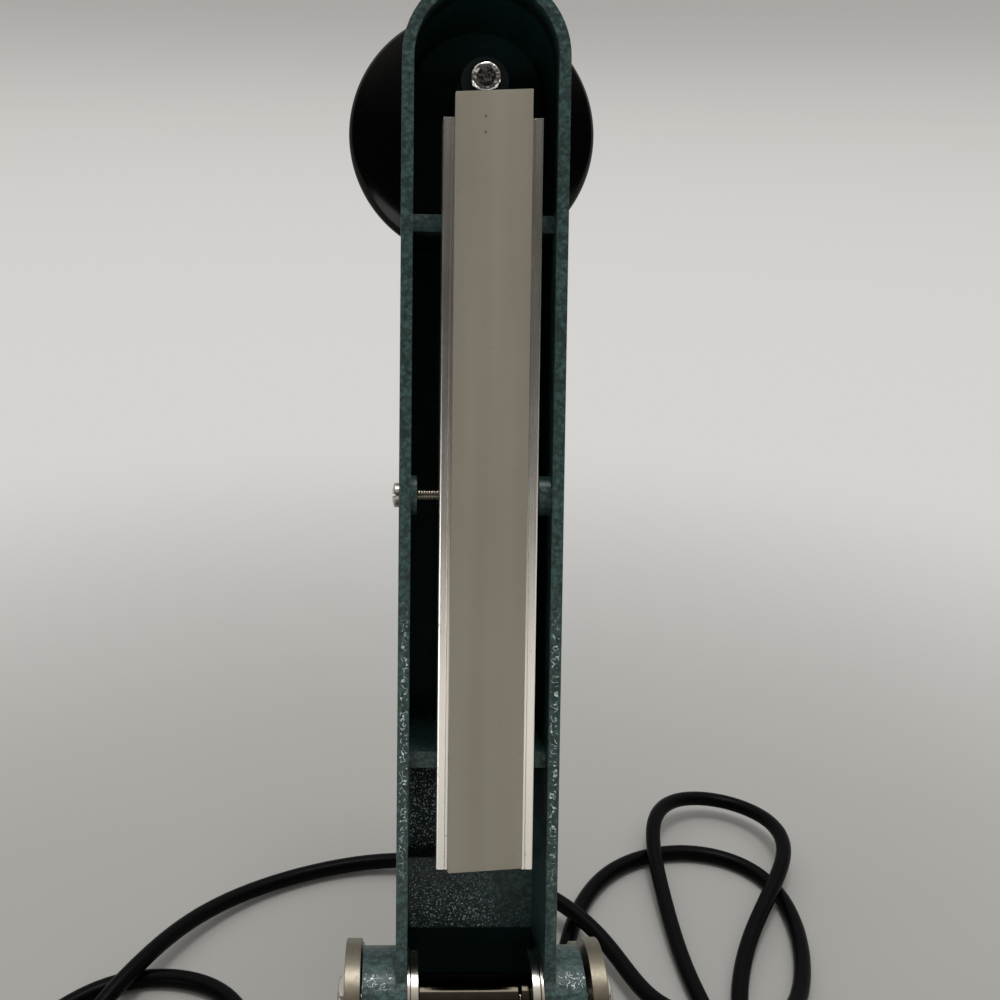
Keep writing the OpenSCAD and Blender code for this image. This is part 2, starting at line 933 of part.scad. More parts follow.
module timer_shaft() {
    tail = base_wall + pot_l - 5;
    color(steel)
    translate([-panel_x, base_front - dial_t - pot_bush_l - dial_knob_h + 2, panel_z])
        rod_y(shaft_r, dial_knob_h - 2 + pot_bush_l + dial_t + tail);
}

module timer_knob() {
    front = base_front - dial_t - pot_bush_l - side_gap - dial_knob_h;
    color(black)
    translate([-panel_x, front, panel_z])
        difference() {
            union() {
                rod_y(dial_knob_r * 0.85, dial_knob_h);
                translate([0, dial_knob_h - 4, 0])
                    rod_y(dial_knob_r, 4);
            }
            translate([0, 2, 0])
                rod_y(shaft_r + bolt_fit, dial_knob_h);
            translate([-0.75, -over, 2])
                cube([1.5, 1 + over, dial_knob_r]);
        }
}

module pilot_lens() {
    color(lamp_red)
    translate([panel_x, base_front, panel_z])
        rotate([90, 0, 0])
            rotate_extrude()
                polygon([[0, -base_wall], [lens_r, -base_wall], [lens_r, 0], [lens_flange_r, 0],
                    [lens_flange_r, lens_flange_t], [lens_r, lens_flange_t], [lens_r * 0.8, lens_rise],
                    [0, lens_rise + 1]]);
}

module lamp_holder() {
    color(black)
    translate([panel_x, base_front + base_wall, panel_z])
        rod_y(holder_r, holder_l);
}

module plunger_bush() {
    color(brass)
    translate([0, plunger_y, 0])
        difference() {
            union() {
                translate([0, 0, base_top])
                    cylinder(r = bush_flange, h = bush_lip);
                translate([0, 0, base_top - bush_drop])
                    cylinder(r = plunger_r + bush_wall, h = bush_drop + over);
            }
            translate([0, 0, base_top - bush_drop - over])
                cylinder(r = plunger_r + run_fit, h = bush_drop + bush_lip + 2 * over);
        }
}

module lift_plunger() {
    color(black)
    translate([0, plunger_y, 0]) {
        translate([0, 0, plunger_bottom])
            cylinder(r = plunger_r, h = plunger_top - plunger_cap_h - plunger_bottom);
        translate([0, 0, plunger_top - plunger_cap_h])
            cylinder(r = plunger_cap_r, h = plunger_cap_h);
    }
}

module lift_spring() {
    rings = 8 * spring_turns;
    low = spring_seat + spring_wire / 2 + 0.1;
    high = spring_top - spring_wire / 2 - 0.1;
    path = [for (i = [0:rings])
        [spring_r * cos(45 * i), plunger_y + spring_r * sin(45 * i), low + (high - low) * i / rings]];
    echo(lift_spring_least_gap_mm = tube_gap(path, spring_wire, 5));
    color(steel)
    tube(path, spring_wire / 2, 6);
}

module micro_switch() {
    color(black)
    difference() {
        translate([-switch_w / 2, plunger_y - switch_l / 2, switch_top - switch_h])
            cube([switch_w, switch_l, switch_h]);
        translate([0, plunger_y, switch_top - button_l - button_travel])
            cylinder(r = button_r + run_fit, h = button_l + button_travel + over);
        for (s = [-1, 1])
            translate([-switch_w, plunger_y + s * switch_screw_y, switch_screw_z])
                rod_x(switch_screw_r + bolt_fit, 2 * switch_w);
    }
}

module switch_button() {
    color(lamp_red)
    translate([0, plunger_y, button_top - button_l])
        cylinder(r = button_r, h = button_l);
}

module switch_bracket() {
    color(steel)
    translate([switch_w / 2, plunger_y - switch_l / 2, inner_floor])
        difference() {
            union() {
                cube([bracket_t, switch_l, switch_top - inner_floor]);
                cube([bracket_foot, switch_l, bracket_t]);
            }
            for (s = [-1, 1])
                translate([-over, switch_l / 2 + s * switch_screw_y, switch_screw_z - inner_floor])
                    rod_x(switch_screw_r + bolt_fit, bracket_t + 2 * over);
        }
}

module switch_screws() {
    color(steel)
    for (s = [-1, 1])
        translate([-switch_w / 2, plunger_y + s * switch_screw_y, switch_screw_z]) {
            translate([-screw_head_t, 0, 0])
                rod_x(switch_screw_r * 1.8, screw_head_t);
            rod_x(switch_screw_r, switch_w + bracket_t + 2);
        }
}

module mains_terminal() {
    color(silicone)
    translate([cord_start - block_l, gland_y - block_w / 2, inner_floor])
        cube([block_l, block_w, block_h]);
}

// Leads between the block, the switch, the board, the transformer and the element
module lead_wires() {
    coil_out = min(coil_reach, window_w - coil_gap) + lead_gap;
    coil_end = core_y + core_d / 2 + coil_out;
    coil_start = core_y - core_d / 2 - coil_out;
    mid_z = inner_floor + core_h / 2;
    block_x = cord_start - block_l / 2;
    block_top = inner_floor + block_h + lead_gap;
    term_rear = bed_y + bed_l + terminal_gap + terminal_l / 2;
    term_front = bed_y - terminal_gap - terminal_l / 2;
    screw_end = base_ceiling - terminal_tail - lead_gap;
    switch_back = plunger_y - switch_l / 2 - lead_gap;
    switch_mid = switch_top - switch_h / 2;
    board_end = board_y + board_l + lead_gap;
    board_mid = board_z + board_t / 2;
    color(copper) {
        tube(smooth([[6, coil_end, mid_z], [6, coil_end + 12, mid_z],
            [8, term_rear - 24, screw_end - 12], [3, term_rear, screw_end - 16],
            [0, term_rear, screw_end]], 4), lead_r, 6);
        tube(smooth([[-6, coil_start, mid_z], [-6, coil_start - 10, mid_z],
            [-2, coil_start - 30, screw_end - 8], [0, term_front, screw_end - 14],
            [0, term_front, screw_end]], 4), lead_r, 6);
        tube(smooth([[block_x, gland_y, block_top], [block_x, gland_y, block_top + 8],
            [block_x, gland_y - 30, block_top + 4], [16, coil_end + 14, mid_z + 6],
            [14, coil_end, mid_z + 4]], 4), lead_r, 6);
        tube(smooth([[block_x - 6, gland_y, block_top], [block_x - 6, gland_y, block_top + 6],
            [0, switch_back - 10, switch_mid], [0, switch_back, switch_mid]], 4), lead_r, 6);
        tube(smooth([[-16, board_end, board_mid], [-16, board_end + 6, board_mid],
            [-14, coil_start - 12, mid_z - 6], [-14, coil_start, mid_z - 4]], 4), lead_r, 6);
    }
}

module cord_gland() {
    bore_r = cord_d / 2 + run_fit;
    lock_r = gland_r + 1.5;
    lock_x = -base_wall - gland_lock_t;
    tip_x = gland_flange_t + gland_l;
    color(rubber)
    translate([base_w / 2, gland_y, gland_z])
        rotate([0, 90, 0])
            rotate_extrude()
                polygon([[bore_r, lock_x], [lock_r, lock_x], [lock_r, -base_wall], [gland_r, -base_wall],
                    [gland_r, 0], [gland_flange_r, 0], [gland_flange_r, gland_flange_t],
                    [gland_r, gland_flange_t], [gland_tip_r, tip_x], [bore_r, tip_x]]);
}

module power_cord() {
    color(black)
    tube(smooth(cord_points, cord_steps), cord_d / 2, cord_sides);
}

module plug_body() {
    back = plug_y - plug_tail;
    color(black)
    union() {
        translate([plug_x, plug_y, plug_z])
            rotate([90, 0, 0])
                cylinder(r1 = cord_d / 2 + 1, r2 = cord_d / 2 + 2.5, h = plug_tail + over);
        translate([plug_x, back, plug_z - plug_h / 2 + 0.2])
            linear_extrude(plug_h - 0.4)
                polygon([[-plug_w / 3, 0], [plug_w / 3, 0], [plug_w / 2, -plug_l * 0.45],
                    [plug_w / 2, -plug_l], [-plug_w / 2, -plug_l], [-plug_w / 2, -plug_l * 0.45]]);
    }
}

module plug_pins() {
    front = plug_y - plug_tail - plug_l;
    color(brass) {
        for (s = [-1, 1])
            translate([plug_x + s * blade_x - blade_size.x / 2, front - blade_size.y, plug_z + blade_z])
                cube(blade_size);
        translate([plug_x, front - earth_l, plug_z + earth_z])
            rod_y(earth_r, earth_l);
    }
}

// Side view of the arm with its round heel, the rim at z0
module arm_side(u_end, z0, z1, u_slope, r) {
    a = heel_angle(r, u_slope, z1);
    polygon([[-u_end, z0], [-u_end, z1], [-u_slope, z1], [r * cos(a), r * sin(a)], [0, z0]]);
    intersection() {
        circle(r);
        translate([-r, z0])
            square([2 * r, 3 * r]);
    }
}

// Plan of the arm with its round tip
module arm_plan(w) {
    translate([-w / 2, -tip_u])
        square([w, tip_u + 2 * heel_r]);
    translate([0, -tip_u])
        circle(w / 2);
}

module arm_outside() {
    intersection() {
        across(arm_w)
            arm_side(tip_u + arm_w, rim_z, back_z, slope_u, heel_r);
        translate([0, 0, rim_z - over])
            linear_extrude(arm_depth + 2 * over)
                arm_plan(arm_w);
    }
}

module arm_hollow() {
    intersection() {
        across(inner_w)
            arm_side(tip_u + arm_w, rim_z - boss_r, floor_z, slope_u, heel_r - arm_wall);
        translate([0, 0, rim_z - boss_r - over])
            linear_extrude(arm_depth + boss_r + 2 * over)
                arm_plan(inner_w);
    }
}

module arm_casting() {
    color(hammertone)
    on_arm()
        difference() {
            union() {
                difference() {
                    union() {
                        arm_outside();
                        translate([-boss_half, 0, 0])
                            rod_x(boss_r, 2 * boss_half - boss_short);
                    }
                    arm_hollow();
                }
                for (s = [-1, 1])
                    translate([-inner_w / 2 - 1, -pivot_u + s * rib_reach - rib_t / 2, rim_z + rib_drop])
                        cube([inner_w + 2, rib_t, arm_depth - rib_drop - 1]);
                intersection() {
                    arm_outside();
                    translate([-inner_w / 2 - 1, -pad_u1, pad_z])
                        cube([inner_w + 2, pad_u1 - pad_u0, pad_h + floor_t]);
                }
                translate([0, -knob_u, stud_boss_z])
                    cylinder(r1 = stud_boss_r, r2 = stud_boss_root_r, h = floor_z - stud_boss_z + 1);
                translate([-inner_w / 2 - 1, -pivot_u, pivot_z])
                    rod_x(pivot_boss_r, pivot_boss_left + 1);
                translate([inner_w / 2 - pivot_boss_right, -pivot_u, pivot_z])
                    rod_x(pivot_boss_r, pivot_boss_right + 1);
            }
            translate([-boss_half - over, 0, 0])
                rod_x(bush_r + bolt_fit, 2 * boss_half - boss_short + 2 * over);
            translate([-arm_w / 2 - over, -pivot_u, pivot_z])
                rod_x(pivot_r + bolt_fit, arm_w + 2 * over);
            translate([0, -knob_u, rim_z])
                cylinder(r = stud_r + bolt_fit, h = arm_depth + over);
        }
}

module press_knob() {
    w = knob_r;
    color(black)
    on_arm()
        translate([0, -knob_u, back_z])
            difference() {
                rotate_extrude($fn = 96)
                    polygon([[0, 0], [knob_foot_r, 0], [knob_foot_r, 3], [knob_neck_r, 8],
                        [knob_foot_r + 4, knob_rise - 6], [w - 5, knob_rise - 4],
                        [w - 1.5, knob_rise - 2.6], [w, knob_rise], [w - 0.6, knob_rise + 2.4],
                        [w - 5, knob_rise + 6], [w * 0.6, knob_top - 2.4],
                        [w * 0.3, knob_top - 0.6], [0, knob_top]]);
                translate([0, 0, -over])
                    cylinder(r = stud_r + bolt_fit, h = stud_depth + over);
            }
}

module knob_stud() {
    color(steel)
    on_arm()
        translate([0, -knob_u, stud_end])
            cylinder(r = stud_r, h = back_z + stud_depth - 0.5 - stud_end);
}

module knob_nut() {
    color(steel)
    on_arm()
        translate([0, -knob_u, stud_boss_z - stud_nut_h])
            difference() {
                hex(stud_nut_af, stud_nut_h);
                translate([0, 0, -over])
                    cylinder(r = stud_r + bolt_fit, h = stud_nut_h + 2 * over);
            }
}

module hinge_bushes() {
    color(steel)
    on_arm()
        for (s = [0, 1])
            mirror([s, 0, 0])
                difference() {
                    union() {
                        translate([flange_x, 0, 0])
                            rod_x(bush_flange_r, bush_flange_t);
                        translate([flange_x, 0, 0])
                            rod_x(bush_r, boss_half - flange_x);
                    }
                    translate([flange_x - over, 0, 0])
                        rod_x(bolt_r + run_fit, boss_half - flange_x + 2 * over);
                }
}

module hinge_washers() {
    color(steel)
    on_arm()
        for (s = [0, 1])
            mirror([s, 0, 0])
                translate([inner_w / 2 - washer_t, 0, 0])
                    difference() {
                        rod_x(washer_r, washer_t);
                        translate([-over, 0, 0])
                            rod_x(bush_r + bolt_fit, washer_t + 2 * over);
                    }
}

module hinge_sleeve() {
    sleeve_l = 2 * flange_x - collar_w - collar_gap;
    color(nickel)
    on_arm()
        translate([-flange_x, 0, 0])
            difference() {
                rod_x(sleeve_r, sleeve_l);
                translate([-over, 0, 0])
                    rod_x(bolt_r + run_fit, sleeve_l + 2 * over);
            }
}

module hinge_collar() {
    color(nickel)
    on_arm()
        translate([flange_x - collar_w, 0, 0])
            difference() {
                rod_x(collar_r, collar_w);
                translate([-over, 0, 0])
                    rod_x(bolt_r + run_fit, collar_w + 2 * over);
            }
}

module pivot_screw() {
    color(steel)
    on_arm()
        translate([-arm_w / 2, -pivot_u, pivot_z]) {
            translate([-pivot_head_h, 0, 0])
                rod_x(pivot_head_r, pivot_head_h);
            rod_x(pivot_r, arm_w - 0.5);
        }
}

// Section of the press bar across its length, the rim at y = 0 and the face at y = -bar_proud
module bar_section() {
    h = bar_w / 2;
    g = strip_w / 2 + groove_gap;
    face = -bar_proud;
    polygon([[-h, bar_back], [-h, face + bar_chamfer], [-h + bar_chamfer, face], [-g, face],
        [-g, face + bar_groove], [g, face + bar_groove], [g, face], [h - bar_chamfer, face],
        [h, face + bar_chamfer], [h, bar_back], [h - bar_wall, bar_back],
        [h - bar_wall, face + bar_groove + bar_wall], [-h + bar_wall, face + bar_groove + bar_wall],
        [-h + bar_wall, bar_back]]);
}

module press_bar() {
    color(aluminium)
    on_arm()
        translate([bar_x, -bar_u, rim_z])
            rotate([90, 0, 0])
                linear_extrude(bar_l)
                    bar_section();
}

// Strip cut by hand, a little out of square at both ends
module silicone_strip() {
    h = strip_w / 2;
    color(silicone)
    on_arm()
        translate([bar_x, -bar_u + strip_low, rim_z - bar_proud - strip_proud])
            linear_extrude(strip_proud + bar_groove)
                polygon([[-h, 0], [h, -strip_skew_low], [h, -strip_l], [-h, -strip_l + strip_skew_top]]);
}

module pivot_saddle() {
    web = -bar_proud + bar_groove + bar_wall;
    color(steel)
    on_arm()
        translate([bar_x, -pivot_u, rim_z])
            difference() {
                translate([-saddle_w / 2, -saddle_l / 2, web])
                    cube([saddle_w, saddle_l, pivot_z - rim_z + saddle_drop - web]);
                translate([-saddle_w, 0, pivot_z - rim_z])
                    rod_x(pivot_r + run_fit, 2 * saddle_w);
            }
}

base_housing();
bottom_plate();
rubber_feet();
foot_screws();
hinge_yoke();
yoke_screws();
yoke_nuts();
hinge_bolt();
hinge_nut();
stop_pin();
seal_bed();
bed_screws();
insulator_strip();
heating_element();
ptfe_cover();
cloth_clamps();
clamp_screws();
element_terminals();
terminal_screws();
transformer_core();
transformer_coil();
transformer_frame();
transformer_screws();
timer_board();
board_standoffs();
board_relay();
board_capacitors();
timer_pot();
pot_nut();
dial_plate();
pilot_lens();
lamp_holder();
plunger_bush();
micro_switch();
switch_bracket();
switch_screws();
mains_terminal();
lead_wires();
cord_gland();
power_cord();
plug_body();
plug_pins();
lift_spring();
timer_shaft();
timer_knob();
lift_plunger();
switch_button();
arm_casting();
press_knob();
knob_stud();
knob_nut();
hinge_bushes();
hinge_washers();
hinge_sleeve();
hinge_collar();
pivot_screw();
press_bar();
silicone_strip();
pivot_saddle();
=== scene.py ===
import math

import bmesh
import bpy
import numpy as np
from mathutils import Matrix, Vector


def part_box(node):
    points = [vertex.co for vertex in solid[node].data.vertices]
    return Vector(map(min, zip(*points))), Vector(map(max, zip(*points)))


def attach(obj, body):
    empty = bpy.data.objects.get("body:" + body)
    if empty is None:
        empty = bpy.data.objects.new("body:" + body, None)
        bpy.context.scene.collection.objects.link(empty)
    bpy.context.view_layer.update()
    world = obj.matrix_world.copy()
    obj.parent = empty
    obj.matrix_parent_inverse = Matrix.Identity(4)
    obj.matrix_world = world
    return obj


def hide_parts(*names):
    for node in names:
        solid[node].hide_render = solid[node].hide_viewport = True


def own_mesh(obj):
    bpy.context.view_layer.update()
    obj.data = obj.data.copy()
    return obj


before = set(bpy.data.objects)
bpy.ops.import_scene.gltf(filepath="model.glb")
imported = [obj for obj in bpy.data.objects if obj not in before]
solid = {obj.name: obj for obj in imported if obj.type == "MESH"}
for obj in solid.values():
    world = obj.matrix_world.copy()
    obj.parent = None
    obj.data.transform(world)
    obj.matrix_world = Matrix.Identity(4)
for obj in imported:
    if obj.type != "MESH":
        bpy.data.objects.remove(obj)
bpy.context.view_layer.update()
scene = bpy.context.scene
scene.view_settings.view_transform = "Standard"

# Camera. It stands in front of the raised arm, a little above its middle and 22 degrees nose down.
# A square 36 mm picture behind a 36 mm lens, cut 8% to the right of its middle, gives the photograph's framing.
camera = bpy.data.objects.new("camera", bpy.data.cameras.new("camera"))
camera.data.sensor_width = 36
camera.data.lens = 36
camera.data.shift_x = 0.07686
camera.data.clip_start = 0.01
rightward = (0.9996, -0.02129, 0.01591)
upward = (-0.00697, 0.36723, 0.93012)
forward = (0.02571, 0.92991, -0.36694)
eye = (-0.024157, -0.139317, 0.325119)
camera.matrix_world = Matrix(
    [(r, u, -f, e) for r, u, f, e in zip(rightward, upward, forward, eye)] + [(0, 0, 0, 1)]
)
scene.collection.objects.link(camera)
scene.camera = camera


# Counter. A plain pale work surface that the sealer and its lead stand on. It isn't part of the sealer.
# Far from the sealer it fades into the pale backdrop.
class Wire:
    """A shader socket: + - and * of wires and numbers add Math nodes to its tree."""

    def __init__(self, tree, socket=None):
        self.tree = tree
        self.socket = socket

    def node(self, kind, settings=None, sockets=None, out=0):
        """Adds a node of that type, sets its settings, then its sockets' values or links, and gives one output."""
        made = self.tree.nodes.new(kind)
        for name, value in (settings or {}).items():
            setattr(made, name, value)
        for name, value in (sockets or {}).items():
            if isinstance(value, Wire):
                self.tree.links.new(value.socket, made.inputs[name])
            else:
                made.inputs[name].default_value = value
        return None if out is None else Wire(self.tree, made.outputs[out])

    def maths(self, operation, *terms):
        """One operation on values, as a Math node."""
        return self.node("ShaderNodeMath", {"operation": operation}, dict(enumerate(terms)))

    def vector(self, operation, *terms, out="Vector"):
        """One operation on points or directions, as a Vector Math node."""
        return self.node("ShaderNodeVectorMath", {"operation": operation}, dict(enumerate(terms)), out)

    def __add__(self, other):
        return self.maths("ADD", self, other)

    __radd__ = __add__

    def __mul__(self, other):
        return self.maths("MULTIPLY", self, other)

    __rmul__ = __mul__

    def __sub__(self, other):
        return self.maths("SUBTRACT", self, other)

    def __rsub__(self, other):
        return self.maths("SUBTRACT", other, self)


def srgb(r, g, b):
    """A screen colour from 0 to 255 as the linear colour that shaders take, with alpha 1."""
    c = np.array([r, g, b]) / 255
    return (*np.where(c > 0.04045, ((c + 0.055) / 1.055) ** 2.4, c / 12.92).tolist(), 1.0)


def new_finish(name):
    """A new empty material, and a wire into its tree."""
    material = bpy.data.materials.new(name)
    material.use_nodes = True
    material.node_tree.nodes.clear()
    return material, Wire(material.node_tree)


def ease(w, value, low, high):
    """0 below low, 1 above high, and a smooth step between."""
    return w.node(
        "ShaderNodeMapRange",
        {"interpolation_type": "SMOOTHSTEP"},
        {"Value": value, "From Min": low, "From Max": high, "To Min": 0.0, "To Max": 1.0},
    )


def tint(w, share, first, second):
    """The first colour where share is 0 and the second where it is 1."""
    return w.node("ShaderNodeMix", {"data_type": "RGBA"}, {0: share, 6: first, 7: second}, out=2)


def place(w):
    """The point on the piece, in metres, in the part's own frame."""
    return w.node("ShaderNodeTexCoord", out="Object")


def noise(w, point, scale, detail=3.0, roughness=0.55, distortion=0.0):
    """Soft noise between 0 and 1, with about scale waves to the metre and finer ones for each step of detail."""
    return w.node(
        "ShaderNodeTexNoise",
        {},
        {"Vector": point, "Scale": scale, "Detail": detail, "Roughness": roughness, "Distortion": distortion},
    )


backdrop = srgb(199, 198, 194)
counter_paint, w = new_finish("counter_paint")
spot = place(w)
away = w.vector("LENGTH", spot, out="Value")
looked_at = w.node("ShaderNodeLightPath", out="Is Camera Ray")
mirrored = w.node("ShaderNodeLightPath", out="Is Glossy Ray")
passed = w.node("ShaderNodeLightPath", out="Is Transmission Ray")
shown = w.maths("MINIMUM", looked_at + mirrored + passed, 1.0)
grain = noise(w, spot, 9.0, 2.0)
tone = tint(w, grain, srgb(176, 175, 172), srgb(182, 181, 178))
near = w.node("ShaderNodeBsdfDiffuse", {}, {"Color": tone}, out="BSDF")
fading = tint(w, ease(w, w.maths("LOGARITHM", away, 2.0), 0.2, 4.6), srgb(213, 211, 208), backdrop)
far = w.node("ShaderNodeEmission", {}, {"Color": fading, "Strength": 1.0}, out="Emission")
mixed = w.node("ShaderNodeMixShader", {}, {0: shown * ease(w, away, 0.22, 0.88), 1: near, 2: far}, out="Shader")
w.node("ShaderNodeOutputMaterial", {}, {"Surface": mixed}, out=None)
counter_mesh = bpy.data.meshes.new("counter")
counter_half = 30.0
corners = [(x * counter_half, y * counter_half, 0) for x, y in ((-1, -1), (1, -1), (1, 1), (-1, 1))]
counter_mesh.from_pydata(corners, [], [(0, 1, 2, 3)])
counter_mesh.materials.append(counter_paint)
counter = bpy.data.objects.new("counter", counter_mesh)
scene.collection.objects.link(counter)


# Room light. A bright low band in front of the sealer, as from a window, a dimmer room behind, and one soft lamp
# almost overhead. Two weak lamps at the front fill the arm's pockets. The camera sees a pale backdrop instead.
def along(w, point, direction):
    """How far a point lies along a direction: their dot product."""
    return w.vector("DOT_PRODUCT", point, direction, out="Value")


def fall(w, value, low, high):
    """1 below low, 0 above high, and a smooth step between."""
    return 1.0 - ease(w, value, low, high)


room = bpy.data.worlds.new("room")
scene.world = room
room.use_nodes = True
room.node_tree.nodes.clear()
w = Wire(room.node_tree)
way = w.node("ShaderNodeTexCoord", out="Generated")
height = along(w, way, (0.0, 0.0, 1.0))
behind = ease(w, along(w, way, (0.0, 1.0, 0.0)), -0.5, 0.5)
dark_front, band, back_level, overhead = 0.06, 1.2, 0.5, 0.7
front_level = dark_front + band * fall(w, height, 0.04, 0.22)
light = front_level + (back_level - front_level) * behind + overhead * ease(w, height, 0.55, 0.97)
seen = w.node("ShaderNodeLightPath", out="Is Camera Ray")
hue = tint(w, behind, (1.0, 0.94, 0.87, 1.0), (1.0, 1.0, 0.985, 1.0))
glow = w.node("ShaderNodeBackground", {}, {"Color": hue, "Strength": light}, out="Background")
dusk = tint(w, ease(w, height, -0.03, 0.1), backdrop, srgb(168, 166, 163))
pale = w.node("ShaderNodeBackground", {}, {"Color": dusk, "Strength": 1.0}, out="Background")
both = w.node("ShaderNodeMixShader", {}, {0: seen, 1: glow, 2: pale}, out="Shader")
w.node("ShaderNodeOutputWorld", {}, {"Surface": both}, out=None)


def lamp(name, at, aim, size, watts):
    """A square soft lamp at one point, turned to another."""
    data = bpy.data.lights.new(name, "AREA")
    data.size = size
    data.energy = watts
    made = bpy.data.objects.new(name, data)
    back = np.subtract(at, aim) / np.linalg.norm(np.subtract(at, aim))
    side = np.cross((0.0, 1.0, 0.001), back)
    side /= np.linalg.norm(side)
    made.matrix_world = Matrix(
        [(s, u, b, p) for s, u, b, p in zip(side, np.cross(back, side), back, at)] + [(0, 0, 0, 1)]
    )
    scene.collection.objects.link(made)


lamp("ceiling_lamp", (0.06, 0.2, 1.75), (0.0, 0.1, 0.1), 0.5, 8.0)
lamp("front_lamp", (0.62, -1.2, 0.36), (0.0, 0.1, 0.17), 0.4, 0.3)
lamp("left_lamp", (-0.75, -1.1, 0.3), (0.0, 0.1, 0.14), 0.4, 1.6)

# Base housing. A long painted box, cast in one piece with rounded edges, that carries everything else.
# Its dark green hammered enamel is sprayed thick, so that it draws up into small shining dimples.
MM = 0.001


def dress(material, *names):
    """Gives the solids of those names one finish."""
    for name in names:
        mesh = solid[name].data
        if mesh.materials:
            mesh.materials[0] = material
        else:
            mesh.materials.append(material)


def surface(w, sockets, height=None, depth=0.0):
    """Ends a material: a Principled shader with those sockets, and a Bump whose height 1 is depth metres."""
    if height is not None:
        bump = w.node("ShaderNodeBump", {}, {"Height": height, "Distance": depth, "Strength": 1.0}, out="Normal")
        sockets = sockets | {"Normal": bump}
    shader = w.node("ShaderNodeBsdfPrincipled", {}, sockets, out="BSDF")
    w.node("ShaderNodeOutputMaterial", {}, {"Surface": shader}, out=None)


def settle(piece, body, stands_for):
    """Puts a new piece into the scene, on its body, in place of the solids that it stands for."""
    scene.collection.objects.link(piece)
    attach(piece, body)
    if stands_for:
        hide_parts(*stands_for)
    return piece


def softened(name, body, material, width, angle=35):
    """A copy of a solid, its triangles merged into faces, with every edge rounded over by width mm."""
    mesh = solid[name].data.copy()
    grown = bmesh.new()
    grown.from_mesh(mesh)
    bmesh.ops.remove_doubles(grown, verts=grown.verts, dist=1e-6)
    bmesh.ops.dissolve_limit(grown, angle_limit=math.radians(0.5), verts=grown.verts, edges=grown.edges)
    grown.to_mesh(mesh)
    grown.free()
    mesh.name = name + "_finished"
    mesh.materials.clear()
    mesh.materials.append(material)
    mesh.shade_smooth()
    mesh.set_sharp_from_angle(angle=math.radians(angle))
    piece = bpy.data.objects.new(name + "_finished", mesh)
    bevel = piece.modifiers.new("edges", "BEVEL")
    bevel.width = width * MM
    bevel.segments = 2
    bevel.limit_method = "ANGLE"
    bevel.angle_limit = math.radians(angle)
    bevel.harden_normals = True
    return settle(piece, body, [name])


hammered, w = new_finish("hammered_enamel")
spot = place(w)
warp = w.node("ShaderNodeTexNoise", {}, {"Vector": spot, "Scale": 420.0, "Detail": 2.0}, out="Color")
pushed = w.vector("MULTIPLY_ADD", warp, (0.0016,) * 3, spot)
dimple = w.node(
    "ShaderNodeTexVoronoi",
    {"feature": "SMOOTH_F1"},
    {"Vector": pushed, "Scale": 620.0, "Smoothness": 0.35},
    out="Distance",
)
vein = noise(w, spot, 950.0, 2.0)
cloud = noise(w, spot, 130.0, 3.0)
shade = tint(w, ease(w, cloud * 0.3 + vein * 0.7, 0.37, 0.63), srgb(39, 61, 60), srgb(66, 97, 95))
shade = tint(w, ease(w, dimple, 0.42, 0.7) * 0.6, shade, srgb(22, 38, 39))

# Deep in the arm's pockets and round its nut the colour is darkened: painted shade. Places on the arm are in metres:
# up it from the hinge, inwards from its open side and off its middle line. Each pair is a soft edge's two sides.
hinge_at = (-0.0014, 0.076, 0.0844)
up_the_arm, into_the_arm, to_the_right = (0.0, 0.309, 0.951), (0.0, 0.951, -0.309), (1.0, 0.0, 0.0)
slope_normal = (0.0, 0.8344, -0.5512)
tip_middle, heel_skin = 0.263, (0.0172, 0.018)
from_hinge = w.vector("SUBTRACT", spot, hinge_at)
up_arm = along(w, from_hinge, up_the_arm)
inwards = along(w, from_hinge, into_the_arm)
sideways = along(w, from_hinge, to_the_right)
past_tip = w.maths("MAXIMUM", up_arm - tip_middle, 0.0)
off_middle = w.maths("SQRT", sideways * sideways + past_tip * past_tip)
in_tip = ease(w, up_arm, 0.2228, 0.2236)
past_slope = ease(w, along(w, from_hinge, slope_normal), *heel_skin)
past_heel = ease(w, w.maths("SQRT", up_arm * up_arm + inwards * inwards), *heel_skin)
in_heel = (1.0 - past_slope) * (1.0 - past_heel * fall(w, up_arm, -0.0052, -0.0045))
by_hinge = in_heel * fall(w, up_arm, 0.012, 0.0135)
pocket_shade = fall(w, off_middle, 0.0192, 0.0198) * fall(w, inwards, 0.0242, 0.0256)
pocket_shade = pocket_shade * w.maths("MAXIMUM", ease(w, up_arm, 0.072, 0.08), by_hinge)
pocket_shade = pocket_shade * ease(w, inwards + 0.006 * in_tip, -0.005, 0.003)
over_pad = ease(w, up_arm, 0.0345, 0.036)
on_floor = ease(w, inwards, 0.01, 0.014) * fall(w, inwards, 0.0246, 0.026) * fall(w, off_middle, 0.0176, 0.0186)
on_floor = on_floor * in_heel * ease(w, up_arm, 0.0125, 0.014) * fall(w, up_arm, 0.068, 0.0705)
upper_rib = ease(w, up_arm, 0.21, 0.214) * (1.0 - in_tip) * fall(w, off_middle, 0.0186, 0.0192)
pocket_shade = w.maths("MAXIMUM", pocket_shade, w.maths("MAXIMUM", on_floor * over_pad * 0.8, upper_rib * 0.4))
nut_shade = in_tip * pocket_shade * fall(w, inwards, -0.002, 0.0)
# Painted shade: deep pockets, the heel by the hinge, the floor over the pad and the upper rib turn near-black teal.
shade = tint(w, pocket_shade * 0.92, shade, srgb(11, 38, 38))
# Painted shade round the knob's nut at the arm's tip.
shade = tint(w, nut_shade * 0.8, shade, srgb(8, 9, 9))
